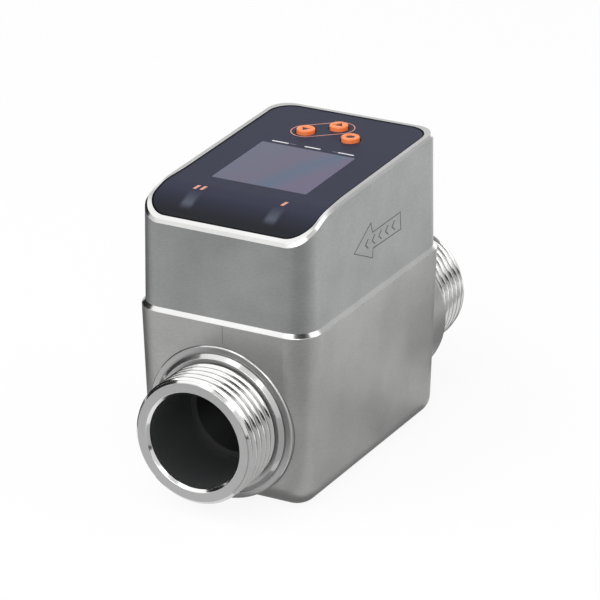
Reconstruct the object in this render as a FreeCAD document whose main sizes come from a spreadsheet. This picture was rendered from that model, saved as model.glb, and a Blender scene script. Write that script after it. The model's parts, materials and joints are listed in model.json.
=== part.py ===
"""Electromagnetic flow sensor: stainless housing on a threaded pipe piece, with a display panel on top.

Frame, in millimetres: the origin is on the pipe axis, midway between the two sealing faces.
Y runs along the pipe, with the outlet at -Y. X points to the right of someone reading the panel
from the outlet end, and Z points up.
"""
import FreeCAD, Part
import Sketcher
import math
import os
import re

# Driving sizes: name, value in millimetres or degrees, meaning
SIZES = (
    ("flow_length", 118.5, "between the two sealing faces"),
    ("thread_diameter", 33.25, "one inch pipe thread, over the crests"),
    ("thread_pitch", 2.309, "eleven turns to the inch"),
    ("thread_depth", 1.48, "crest to root"),
    ("thread_crest", 0.35, "flat left on a crest and in a root"),
    ("thread_relief", 1.3, "plain groove behind a thread"),
    ("end_chamfer", 0.97, "outer edge of a sealing face"),
    ("mouth_chamfer", 0.75, "inner edge of a sealing face"),
    ("mouth_lip", 1.0, "steel lip that holds a liner"),
    ("bore_diameter", 25.2, "free passage in the liners"),
    ("liner_wall", 1.1, "plastic sleeve inside a fitting"),
    ("tube_bore", 22.0, "free passage in the measuring tube"),
    ("tube_length", 76.0, "measuring tube between the liners"),
    ("slip_gap", 0.05, "clearance of turned pieces that slide together"),
    ("spigot_wall", 3.2, "fitting wall inside the housing"),
    ("spigot_overlap", 6.0, "length of a fitting around a tube end"),
    ("tube_seal_thickness", 1.4, "section of the ring seals on the tube"),
    ("collar_diameter", 40.8, "flange of the outlet fitting"),
    ("collar_edge", 0.3, "bevel on the flange rim"),
    ("collar_stand", 1.0, "flange in front of the housing at the axis"),
    ("collar_thickness", 2.5, "flange along the pipe"),
    ("hub_diameter", 37.0, "raised hub on the flange"),
    ("hub_rise", 1.4, "hub in front of the flange"),
    ("hub_bevel", 0.8, "bevel on the hub"),
    ("hub_groove", 0.25, "turned groove around the hub"),
    ("boss_diameter", 40.2, "round boss at the inlet end"),
    ("boss_length", 12.6, "boss beyond the housing at the axis"),
    ("boss_round", 2.0, "rounded rim of the boss"),
    ("housing_offset", 7.75, "housing middle towards the outlet"),
    ("housing_width", 48.6, "upper housing at the joint"),
    ("housing_length", 73.6, "upper housing at the joint"),
    ("corner_radius", 6.6, "upright corners at the joint"),
    ("joint_height", 27.4, "joint of the housings above the axis"),
    ("base_depth", 20.5, "base below the axis"),
    ("ledge", 1.0, "bevelled ledge around the joint"),
    ("ledge_round", 0.3, "softened edges of the ledge"),
    ("upper_draft", 0.7, "slope of the upper walls"),
    ("lower_draft", 2.0, "slope of the lower walls"),
    ("base_round", 5.4, "rounded edge of the base"),
    ("wall", 2.4, "housing walls"),
    ("floor_thickness", 2.4, "housing floor"),
    ("lip_height", 1.5, "locating lip below the joint"),
    ("crown_rise", 29.45, "rim above the joint at the housing middle"),
    ("crown_slope", 1.7, "rise of the rim towards the inlet"),
    ("bend_setback", 14.8, "front wall to the start of the bend"),
    ("bend_radius", 22.5, "front bend of rim and panel"),
    ("rim_bevel", 0.6, "outer edge of the rim"),
    ("rim_width", 1.1, "rim seen from above"),
    ("seat_depth", 10.85, "panel seat below the rim"),
    ("seat_thickness", 2.0, "inner flange under the panel"),
    ("seat_width", 1.6, "inner flange"),
    ("seal_thickness", 0.8, "bonded seal under the panel"),
    ("panel_gap", 0.15, "line between rim and panel"),
    ("panel_sink", 0.15, "panel below the rim"),
    ("panel_corner", 6.4, "corners of the panel recess"),
    ("panel_thickness", 2.2, "panel plate"),
    ("panel_skirt", 2.4, "panel side walls"),
    ("display_width", 27.0, "window across the panel"),
    ("display_length", 26.5, "window along the panel"),
    ("display_setback", 4.0, "window middle in front of the housing middle"),
    ("display_border", 0.7, "module edge around the window"),
    ("display_depth", 5.0, "display module"),
    ("window_gap", 0.1, "line between panel and window"),
    ("window_corner", 0.5, "corners of window and light guides"),
    ("button_diameter", 4.8, "button caps"),
    ("button_rise", 1.05, "caps above the panel"),
    ("button_edge", 0.35, "bevel on a cap"),
    ("button_gap", 0.3, "around a cap"),
    ("button_travel", 0.6, "press of a button"),
    ("button_flange", 0.9, "collar that holds a cap in, wide and thick"),
    ("button_stem", 2.8, "diameter of the stem under a cap"),
    ("side_button_spread", 6.45, "outer buttons from the middle line"),
    ("side_button_place", 19.55, "outer buttons behind the housing middle"),
    ("middle_button_place", 25.45, "third button behind the housing middle"),
    ("switch_side", 6.0, "key switch body"),
    ("switch_body", 2.6, "key switch body height"),
    ("switch_plunger", 3.0, "key switch plunger diameter"),
    ("switch_height", 3.8, "key switch with plunger"),
    ("left_guide_place", 12.4, "left light guide from the middle line"),
    ("right_guide_place", 11.1, "right light guide from the middle line"),
    ("guide_width", 3.4, "light guide across"),
    ("guide_length", 5.6, "light guide along"),
    ("guide_inset", 7.3, "light guides behind the front wall"),
    ("lamp_height", 0.9, "light chips on the board"),
    ("lamp_side", 1.6, "light chips"),
    ("board_thickness", 1.6, "circuit boards"),
    ("board_rise", 2.0, "display board top above the panel seat"),
    ("board_margin", 0.7, "boards inside the panel skirt"),
    ("post_inset", 2.5, "screw posts from the sides of the boards"),
    ("post_gap", 0.6, "front posts in front of the display module"),
    ("post_rear_inset", 4.8, "rear posts from the rear of the main board"),
    ("post_diameter", 4.4, "screw posts and spacers"),
    ("screw_diameter", 2.5, "board screws"),
    ("screw_head", 4.4, "board screw heads"),
    ("screw_head_height", 1.6, "board screw heads"),
    ("screw_bite", 3.5, "screw length in a post"),
    ("main_board_rise", 4.4, "main board top above the joint"),
    ("main_board_setback", 6.8, "main board behind the front of the display board"),
    ("link_width", 22.0, "pin block between the boards"),
    ("link_depth", 4.0, "pin block between the boards"),
    ("link_inset", 2.4, "pin block from the front of the main board"),
    ("chip_side", 9.0, "processor"),
    ("chip_height", 1.2, "processor"),
    ("capacitor_diameter", 6.0, "capacitors"),
    ("capacitor_height", 7.0, "capacitors"),
    ("capacitor_spread", 9.0, "capacitors from the middle line"),
    ("electrode_diameter", 3.0, "measuring electrodes"),
    ("electrode_reach", 3.7, "electrode outside the tube"),
    ("electrode_flush", 0.06, "electrode tips behind the bore"),
    ("washer_diameter", 5.6, "electrode seals"),
    ("washer_thickness", 0.6, "electrode seals"),
    ("nut_size", 5.5, "electrode nuts across flats"),
    ("nut_thickness", 1.6, "electrode nuts"),
    ("probe_place", 20.0, "temperature probe from the middle of the tube"),
    ("probe_head", 6.0, "probe head diameter"),
    ("probe_head_height", 2.4, "probe head"),
    ("coil_gap", 0.3, "coil beside the tube"),
    ("coil_diameter", 20.0, "bobbin flanges"),
    ("core_diameter", 8.0, "iron cores"),
    ("bobbin_wall", 0.8, "bobbin flanges and barrel"),
    ("winding_inset", 0.5, "winding inside the flange rims"),
    ("yoke_thickness", 1.2, "iron strap around the coils"),
    ("yoke_gap", 0.8, "iron strap inside the housing walls"),
    ("yoke_width", 18.0, "iron strap along the pipe"),
    ("yoke_height", 19.0, "iron strap above the axis"),
    ("lead_diameter", 1.0, "insulated wires"),
    ("lead_offset", 0.05, "wires beside the bobbins"),
    ("connector_rise", 0.2, "plug flange above the joint"),
    ("connector_thread", 12.0, "twelve millimetre plug thread"),
    ("connector_pitch", 1.0, "plug thread turns"),
    ("connector_depth", 0.55, "plug thread, crest to root"),
    ("connector_crest", 0.13, "flat left on a plug thread's crest and root"),
    ("connector_reach", 14.0, "socket behind the housing"),
    ("connector_cavity", 9.5, "bore of the socket"),
    ("connector_shank", 13.0, "part through the wall"),
    ("connector_flange", 17.2, "flange against the wall"),
    ("connector_flange_thickness", 2.6, "flange against the wall"),
    ("connector_tail", 6.5, "socket inside the housing"),
    ("insert_depth", 8.5, "free depth of the socket"),
    ("pin_diameter", 1.0, "contact pins"),
    ("pin_circle", 6.4, "circle of the contact pins"),
    ("pin_setback", 1.5, "pin tips inside the socket mouth"),
    ("pin_tail", 1.5, "pins behind the socket"),
    ("connector_seal_thickness", 1.0, "ring seal in the flange"),
    ("connector_nut", 15.0, "lock nut across flats"),
    ("connector_nut_thickness", 2.6, "lock nut"),
    ("connector_board_thickness", 1.2, "small board behind the socket"),
    ("connector_board_width", 14.0, "small board behind the socket"),
    ("connector_board_edge", 1.5, "small board above the top pin"),
)

doc = FreeCAD.newDocument("flow_sensor")
sheet = doc.addObject("Spreadsheet::Sheet", "Sizes")
for row, (name, size, meaning) in enumerate(SIZES, 1):
    sheet.set("A%d" % row, name)
    sheet.set("B%d" % row, str(size))
    sheet.set("C%d" % row, meaning)
    sheet.setAlias("B%d" % row, name)
doc.recompute()

# Heights above the pipe axis that follow from the sizes
HEIGHTS = {
    "crown_height": "(joint_height + crown_rise)",
    "seat_height": "(joint_height + crown_rise - seat_depth)",
    "board_height": "(joint_height + crown_rise - seat_depth + board_rise)",
    "main_board_height": "(joint_height + main_board_rise)",
    "connector_height": "(joint_height + connector_rise + connector_flange / 2)",
}
NAMES = {name for name, size, meaning in SIZES}
PLANES = {"x": "XZ_Plane", "y": "YZ_Plane", "z": "XZ_Plane"}
ALONG = {
    "x": FreeCAD.Rotation(FreeCAD.Vector(0, 1, 0), 90),
    "y": FreeCAD.Rotation(FreeCAD.Vector(1, 0, 0), -90),
    "z": FreeCAD.Rotation(),
}
MIDDLE = ("0", "-housing_offset", "0")
TOUCH = 0.01
RUN_IN_TURNS = 0.75
OVERCUT = 0.1
nodes = []


def cells(formula):
    """The formula with heights written out and each size name turned into a reference to its cell."""
    written_out = re.sub(r"[a-z_]+", lambda m: HEIGHTS.get(m[0], m[0]), formula)
    return re.sub(r"[a-z_]+", lambda m: "Sizes." + m[0] if m[0] in NAMES else m[0], written_out)


def number(formula):
    """What a formula of size names comes to now."""
    return float(sheet.evalExpression(cells(formula)))


def node(thing, label):
    """Keep an object as a sub-part under this name."""
    thing.Label = label
    nodes.append(thing)
    return thing


def put(thing, at, turn=None):
    """Place an object by three formulas, turned first if needed."""
    if turn:
        thing.Placement = FreeCAD.Placement(FreeCAD.Vector(), turn)
    for axis, formula in zip("xyz", at):
        thing.setExpression("Placement.Base." + axis, cells(formula))
    return thing


# Sketches
def sketch(body, name, plane, height="0"):
    """An empty sketch on one of the body's own planes, raised along the plane's normal."""
    drawing = body.newObject("Sketcher::SketchObject", name)
    support = [f for f in body.Origin.OriginFeatures if f.Role == plane][0]
    drawing.AttachmentSupport = [(support, "")]
    drawing.MapMode = "FlatFace"
    drawing.setExpression("AttachmentOffset.Base.z", cells(height))
    return drawing


def fix(drawing, kind, items, formula):
    """A dimension of the sketch, bound to a formula."""
    index = drawing.addConstraint(Sketcher.Constraint(kind, *items, number(formula)))
    drawing.setExpression("Constraints[%d]" % index, cells(formula))


def pin(drawing, edge, end, place):
    """Hold one end of an edge at a place given by two formulas."""
    fix(drawing, "DistanceX", (-1, 1, edge, end), place[0])
    fix(drawing, "DistanceY", (-1, 1, edge, end), place[1])


def spot(place):
    """A sketch point from two formulas."""
    return FreeCAD.Vector(number(place[0]), number(place[1]), 0)


def outline(drawing, places):
    """Closed outline of straight edges through places given by pairs of formulas."""
    first = drawing.GeometryCount
    count = len(places)
    for index, place in enumerate(places):
        drawing.addGeometry(Part.LineSegment(spot(place), spot(places[(index + 1) % count])))
    for index, place in enumerate(places):
        drawing.addConstraint(
            Sketcher.Constraint("Coincident", first + (index - 1) % count, 2, first + index, 1))
        pin(drawing, first + index, 1, place)


def circle(drawing, place, radius):
    """A circle about a place given by two formulas."""
    edge = drawing.addGeometry(Part.Circle(spot(place), FreeCAD.Vector(0, 0, 1), number(radius)))
    pin(drawing, edge, 3, place)
    fix(drawing, "Radius", (edge,), radius)


def rounded(drawing, half_x, half_y, corner, place=("0", "0")):
    """Rectangle with rounded corners about a place, all given by formulas."""
    first = drawing.GeometryCount
    signs = ((1, 1), (-1, 1), (-1, -1), (1, -1))
    radius = number(corner)
    middle = spot(place)
    reach = FreeCAD.Vector(number(half_x) - radius, number(half_y) - radius, 0)
    centres = [middle + FreeCAD.Vector(sx * reach.x, sy * reach.y, 0) for sx, sy in signs]
    for index, centre in enumerate(centres):
        ring = Part.Circle(centre, FreeCAD.Vector(0, 0, 1), radius)
        start = index * math.pi / 2
        drawing.addGeometry(Part.ArcOfCircle(ring, start, start + math.pi / 2))
    for index in range(4):
        start = drawing.Geometry[first + index].EndPoint
        end = drawing.Geometry[first + (index + 1) % 4].StartPoint
        drawing.addGeometry(Part.LineSegment(start, end))
    for index, (sx, sy) in enumerate(signs):
        side = first + 4 + index
        follow = first + (index + 1) % 4
        drawing.addConstraint(Sketcher.Constraint("Tangent", first + index, 2, side, 1))
        drawing.addConstraint(Sketcher.Constraint("Tangent", side, 2, follow, 1))
        across = "%s + (%d) * (%s - %s)" % (place[0], sx, half_x, corner)
        along = "%s + (%d) * (%s - %s)" % (place[1], sy, half_y, corner)
        pin(drawing, first + index, 3, (across, along))
    fix(drawing, "Radius", (first,), corner)


# Features
def feature(body, kind, name, profile=None, **sizes):
    """A feature of the body; its sizes are formulas."""
    made = body.newObject("PartDesign::" + kind, name)
    if profile:
        made.Profile = profile
    for size, formula in sizes.items():
        made.setExpression(size, cells(formula))
    return made


def pad(body, profile, length, taper="0", down=False, middle=False):
    """Raise a sketch into a solid, drafted inwards by the taper."""
    made = feature(body, "Pad", profile.Name + "_pad", profile, Length=length, TaperAngle="-(%s)" % taper)
    made.Reversed = down
    made.Midplane = middle
    doc.recompute()
    return made


def pocket(body, profile, length=None, up=True, taper="0", middle=False):
    """Cut a sketch out of the body, upwards or downwards, right through if no length is given."""
    before = body.Shape.Volume
    made = feature(body, "Pocket", profile.Name + "_cut", profile, TaperAngle="-(%s)" % taper)
    made.Reversed = up
    made.Midplane = middle
    if length:
        made.setExpression("Length", cells(length))
    else:
        made.Type = "ThroughAll"
    doc.recompute()
    assert body.Shape.Volume < before, profile.Name + " cuts nothing"
    return made


def turn(body, profile, line, kind="Revolution"):
    """Turn a sketch about one of its own axes."""
    made = feature(body, kind, profile.Name + "_turn", profile)
    made.ReferenceAxis = (profile, [line])
    made.Angle = 360
    doc.recompute()
    return made


def dress(body, kind, name, wanted, size):
    """Round or bevel the edges of the body that the test picks."""
    doc.recompute()
    base = body.Tip
    picked = ["Edge%d" % n for n, edge in enumerate(base.Shape.Edges, 1) if wanted(edge)]
    made = body.newObject("PartDesign::" + kind, name)
    made.Base = (base, picked)
    made.setExpression("Radius" if kind == "Fillet" else "Size", cells(size))
    doc.recompute()
    return made


def new_body(label):
    """An empty body that becomes a sub-part."""
    return node(doc.addObject("PartDesign::Body", label), label)


# Simple pieces
def turned(label, axis, profile, at=("0", "0", "0")):
    """A lathe-turned piece: profile places are (along the axis, radius)."""
    body = new_body(label)
    drawing = sketch(body, label + "_profile", PLANES[axis])
    if axis == "z":
        outline(drawing, [(radius, along) for along, radius in profile])
    else:
        outline(drawing, profile)
    turn(body, drawing, "V_Axis" if axis == "z" else "H_Axis")
    put(body, at)
    return body


def tube_profile(start, end, inner, outer):
    """Profile of a plain ring or sleeve."""
    return [(start, inner), (start, outer), (end, outer), (end, inner)]


def rod(name, axis, diameter, length, at):
    """A plain cylinder from a start point along an axis."""
    thing = doc.addObject("Part::Cylinder", name)
    thing.setExpression("Radius", cells("(%s) / 2" % diameter))
    thing.setExpression("Height", cells(length))
    return put(thing, at, ALONG[axis])


def block(name, wide, deep, tall, at):
    """A box centred across X and Y on a place, standing on its Z."""
    thing = doc.addObject("Part::Box", name)
    for side, formula in (("Length", wide), ("Width", deep), ("Height", tall)):
        thing.setExpression(side, cells(formula))
    x, y, z = at
    return put(thing, ("%s - (%s) / 2" % (x, wide), "%s - (%s) / 2" % (y, deep), z))


def ring(label, axis, middle_radius, thickness, at):
    """A ring seal of round section."""
    thing = node(doc.addObject("Part::Torus", label), label)
    thing.setExpression("Radius1", cells(middle_radius))
    thing.setExpression("Radius2", cells("(%s) / 2" % thickness))
    return put(thing, at, ALONG[axis])


def cut(name, base, tool):
    """One solid less another."""
    thing = doc.addObject("Part::Cut", name)
    thing.Base = base
    thing.Tool = tool
    return thing


def group(label, things):
    """Separate solids of one kind under one name."""
    thing = node(doc.addObject("Part::Compound", label), label)
    thing.Links = things
    return thing


def hex_nut(name, axis, flats, hole, thickness, at):
    """A hexagon nut with a plain hole."""
    prism = doc.addObject("Part::Prism", name + "_body")
    prism.Polygon = 6
    prism.setExpression("Circumradius", cells("(%s) / 2 / cos(30)" % flats))
    prism.setExpression("Height", cells(thickness))
    put(prism, at, ALONG[axis])
    return cut(name, prism, rod(name + "_hole", axis, hole, thickness, at))


def thread(body, end, radius, depth, pitch, crest, length, inwards):
    """Cut a V thread from an end of a turned body; inwards is 1 towards +Y and -1 towards -Y."""
    drawing = sketch(body, body.Name + "_vee", "YZ_Plane")
    half = "(%s - %s) / 2 * %s" % (pitch, crest, 1 + OVERCUT)
    run_in = "(%s * %s)" % (RUN_IN_TURNS, pitch)
    start = "(%s - (%d) * %s)" % (end, inwards, run_in)
    above = "(%s + %s * %s)" % (radius, depth, OVERCUT)
    root = "(%s - %s)" % (radius, depth)
    outline(drawing, [
        ("%s - %s" % (start, half), above),
        ("%s - %s / 2" % (start, crest), root),
        ("%s + %s / 2" % (start, crest), root),
        ("%s + %s" % (start, half), above)])
    helix = body.newObject("PartDesign::SubtractiveHelix", body.Name + "_helix")
    helix.Profile = drawing
    helix.ReferenceAxis = (drawing, ["H_Axis"])
    helix.Mode = 0
    helix.setExpression("Pitch", cells(pitch))
    helix.setExpression("Height", cells("%s + %s" % (length, run_in)))
    helix.Reversed = inwards < 0
    before = body.Shape.Volume
    doc.recompute()
    assert body.Shape.Volume < before, body.Name + " has no thread"


# Places that several pieces share
CREST = "(thread_diameter / 2)"
ROOT = "(thread_diameter / 2 - thread_depth)"
MOUTH = "(bore_diameter / 2)"
LINER = "(bore_diameter / 2 + liner_wall)"
SOCKET = "(bore_diameter / 2 + liner_wall + slip_gap)"
SPIGOT = "(bore_diameter / 2 + liner_wall + slip_gap + spigot_wall)"
FACE = "(housing_length / 2 + ledge - tan(lower_draft) * joint_height)"
OUTLET_END = "(-flow_length / 2)"
INLET_END = "(flow_length / 2)"
COLLAR_FRONT = "(-%s - collar_stand)" % FACE
COLLAR_BACK = "(-%s - collar_stand + collar_thickness)" % FACE
BOSS_END = "(%s + boss_length)" % FACE
TOP_INSET = "(tan(upper_draft) * crown_rise + rim_width)"
RECESS_X = "(housing_width / 2 - %s)" % TOP_INSET
RECESS_Y = "(housing_length / 2 - %s)" % TOP_INSET
RECESS_CORNER = "panel_corner"
SEAT_OPENING = ("(%s - seat_width)" % RECESS_X, "(%s - seat_width)" % RECESS_Y,
                "(%s - seat_width)" % RECESS_CORNER)
PANEL_X = "(%s - panel_gap)" % RECESS_X
PANEL_Y = "(%s - panel_gap)" % RECESS_Y
PANEL_CORNER = "(%s - panel_gap)" % RECESS_CORNER
PANEL_BASE = "(seat_height + seal_thickness)"
BOARD_X = "(%s - panel_skirt - board_margin)" % PANEL_X
BOARD_Y = "(%s - panel_skirt - board_margin)" % PANEL_Y
BOARD_BASE = "(board_height - board_thickness)"
MAIN_BOARD_REAR = "(housing_length / 2 - connector_tail - pin_tail)"
SCREW_HOLE = "(screw_diameter + 2 * slip_gap)"
MAIN_BOARD_FRONT = "(%s - main_board_setback)" % BOARD_Y
POST_X = "(%s - post_inset)" % BOARD_X
POST_FRONT = "(display_setback + display_length / 2 + display_border + post_gap + post_diameter / 2)"
POST_REAR = "(%s - post_rear_inset)" % MAIN_BOARD_REAR
POSTS = [(side + POST_X, along) for side in ("", "-") for along in ("-" + POST_FRONT, POST_REAR)]
GUIDE_Y = "(guide_inset - housing_length / 2)"
COIL_NEAR = "(%s + coil_gap)" % LINER
COIL_FAR = ("(housing_width / 2 + ledge - wall - tan(lower_draft) * (joint_height + coil_diameter / 2)"
            " - yoke_gap - yoke_thickness)")
LEAD_X = "((%s + %s) / 2)" % (COIL_NEAR, COIL_FAR)
GUIDES = (("left", "-left_guide_place"), ("right", "right_guide_place"))
BUTTONS = (
    ("down_button", "-side_button_spread", "side_button_place"),
    ("up_button", "0", "middle_button_place"),
    ("enter_button", "side_button_spread", "side_button_place"),
)


def local(formula):
    """A place along the pipe, moved from the housing's own middle to the frame."""
    return "(%s - housing_offset)" % formula


def crown(body, name, drop, cut_above=True, floor="0", half_length=None):
    """Sketch of the space above the rim line, or of the space from a floor up to it.

    The line falls gently from the inlet end to the bend, then follows a tangent arc to the front.
    """
    drawing = sketch(body, name, "YZ_Plane")
    bend = "(bend_setback - housing_length / 2)"
    level = "(crown_height - (%s))" % drop
    bend_z = "(%s + tan(crown_slope) * %s)" % (level, bend)
    hub = ("%s + bend_radius * sin(crown_slope)" % bend, "%s - bend_radius * cos(crown_slope)" % bend_z)
    reach = half_length or "(housing_length / 2 + wall)"
    far = ("%s" % reach, "%s + tan(crown_slope) * %s" % (level, reach))
    other = "(%s + bend_radius)" % level if cut_above else floor
    centre = spot(hub)
    radius = number("bend_radius")
    front = -number(reach)
    front_z = centre.y + math.sqrt(radius ** 2 - (front - centre.x) ** 2)
    begin = math.atan2(number(bend_z) - centre.y, number(bend) - centre.x)
    finish = math.atan2(front_z - centre.y, front - centre.x)
    arc = Part.ArcOfCircle(Part.Circle(centre, FreeCAD.Vector(0, 0, 1), radius), begin, finish)
    corners = [spot(far), FreeCAD.Vector(number(bend), number(bend_z), 0),
               FreeCAD.Vector(front, front_z, 0), FreeCAD.Vector(front, number(other), 0),
               FreeCAD.Vector(number(reach), number(other), 0)]
    drawing.addGeometry(Part.LineSegment(corners[0], corners[1]))
    drawing.addGeometry(arc)
    drawing.addGeometry(Part.LineSegment(corners[2], corners[3]))
    drawing.addGeometry(Part.LineSegment(corners[3], corners[4]))
    drawing.addGeometry(Part.LineSegment(corners[4], corners[0]))
    for one, other_edge in ((0, 1), (1, 2), (2, 3), (3, 4), (4, 0)):
        drawing.addConstraint(Sketcher.Constraint("Coincident", one, 2, other_edge, 1))
    pin(drawing, 0, 1, far)
    pin(drawing, 1, 1, (bend, bend_z))
    pin(drawing, 1, 3, hub)
    fix(drawing, "DistanceX", (-1, 1, 2, 1), "-(%s)" % reach)
    pin(drawing, 2, 2, ("-(%s)" % reach, other))
    pin(drawing, 3, 2, (reach, other))
    return drawing


def panel_level(place):
    """Height of the panel surface at a place behind the housing middle."""
    return "(crown_height - panel_sink + tan(crown_slope) * (%s))" % place


# Lower housing with its inlet boss
def make_lower_housing():
    body = new_body("lower_housing")
    half_x = "(housing_width / 2 + ledge)"
    half_y = "(housing_length / 2 + ledge)"
    corner = "(corner_radius + ledge)"
    plan = sketch(body, "lower_plan", "XY_Plane", "joint_height")
    rounded(plan, half_x, half_y, corner)
    pad(body, plan, "joint_height + base_depth", "lower_draft", down=True)
    top, base = number("joint_height"), -number("base_depth")

    def level(edge, height):
        return abs(edge.BoundBox.ZMin - height) < TOUCH and edge.BoundBox.ZLength < TOUCH

    dress(body, "Chamfer", "ledge_bevel", lambda edge: level(edge, top), "ledge")
    under = top - number("ledge")
    dress(body, "Fillet", "ledge_edge", lambda edge: level(edge, under), "ledge_round")
    dress(body, "Fillet", "base_edge", lambda edge: level(edge, base), "base_round")
    boss = sketch(body, "boss_profile", "YZ_Plane")
    outline(boss, tube_profile("%s - 2 * wall" % FACE, BOSS_END, "0", "(boss_diameter / 2)"))
    turn(body, boss, "H_Axis")
    end = number(BOSS_END)
    dress(body, "Fillet", "boss_edge",
          lambda edge: edge.BoundBox.YMin > end - TOUCH, "boss_round")
    hollow = sketch(body, "lower_hollow", "XY_Plane", "joint_height")
    rounded(hollow, half_x + " - wall", half_y + " - wall", "(corner_radius + ledge - wall)")
    pocket(body, hollow, "joint_height + base_depth - floor_thickness", up=False, taper="lower_draft")
    bore = sketch(body, "fitting_bores", "YZ_Plane")
    clear = "(%s + slip_gap)" % SPIGOT
    seat = "(collar_diameter / 2 + slip_gap)"
    outline(bore, [
        ("-%s - 4 * wall" % FACE, "0"), ("-%s - 4 * wall" % FACE, seat), (COLLAR_BACK, seat),
        (COLLAR_BACK, clear), ("%s + wall" % BOSS_END, clear), ("%s + wall" % BOSS_END, "0")])
    before = body.Shape.Volume
    turn(body, bore, "H_Axis", "Groove")
    assert body.Shape.Volume < before
    put(body, MIDDLE)


# Upper housing with the panel seat and the hole for the plug socket
def make_upper_housing():
    body = new_body("upper_housing")
    half_x, half_y = "(housing_width / 2)", "(housing_length / 2)"
    plan = sketch(body, "upper_plan", "XY_Plane", "joint_height")
    rounded(plan, half_x, half_y, "corner_radius")
    rise = "(crown_rise + tan(crown_slope) * housing_length)"
    pad(body, plan, rise, "upper_draft")
    pocket(body, crown(body, "rim_line", "0"), middle=True)
    joint = number("joint_height")
    upright = number("crown_rise") / 2
    bend_line = number("bend_setback - housing_length / 2")

    def on_rim(edge):
        """True for the edges around the top: not around the joint, upright or across at the bend."""
        box = edge.BoundBox
        across = abs(box.YMin - bend_line) < TOUCH and box.YLength < TOUCH
        return box.ZMin > joint + TOUCH and box.ZLength < upright and not across

    dress(body, "Chamfer", "rim_edge", on_rim, "rim_bevel")
    hollow = sketch(body, "upper_hollow", "XY_Plane", "joint_height")
    rounded(hollow, half_x + " - wall", half_y + " - wall", "(corner_radius - wall)")
    pocket(body, hollow, "seat_height - seat_thickness - joint_height")
    opening = sketch(body, "seat_opening", "XY_Plane", "joint_height")
    rounded(opening, *SEAT_OPENING)
    pocket(body, opening)
    recess = sketch(body, "panel_recess", "XY_Plane", "seat_height")
    rounded(recess, RECESS_X, RECESS_Y, RECESS_CORNER)
    pocket(body, recess)
    lip = sketch(body, "locating_lip", "XY_Plane", "joint_height")
    outer = "(ledge - wall - slip_gap - tan(lower_draft) * lip_height)"
    rounded(lip, "(%s + %s)" % (half_x, outer), "(%s + %s)" % (half_y, outer),
            "(corner_radius + %s)" % outer)
    rounded(lip, half_x + " - wall", half_y + " - wall", "(corner_radius - wall)")
    pad(body, lip, "lip_height", down=True)
    hole = sketch(body, "socket_hole", "XZ_Plane")
    circle(hole, ("0", "connector_height"), "(connector_shank / 2 + slip_gap)")
    pocket(body, hole, up=False)
    put(body, MIDDLE)


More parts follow.
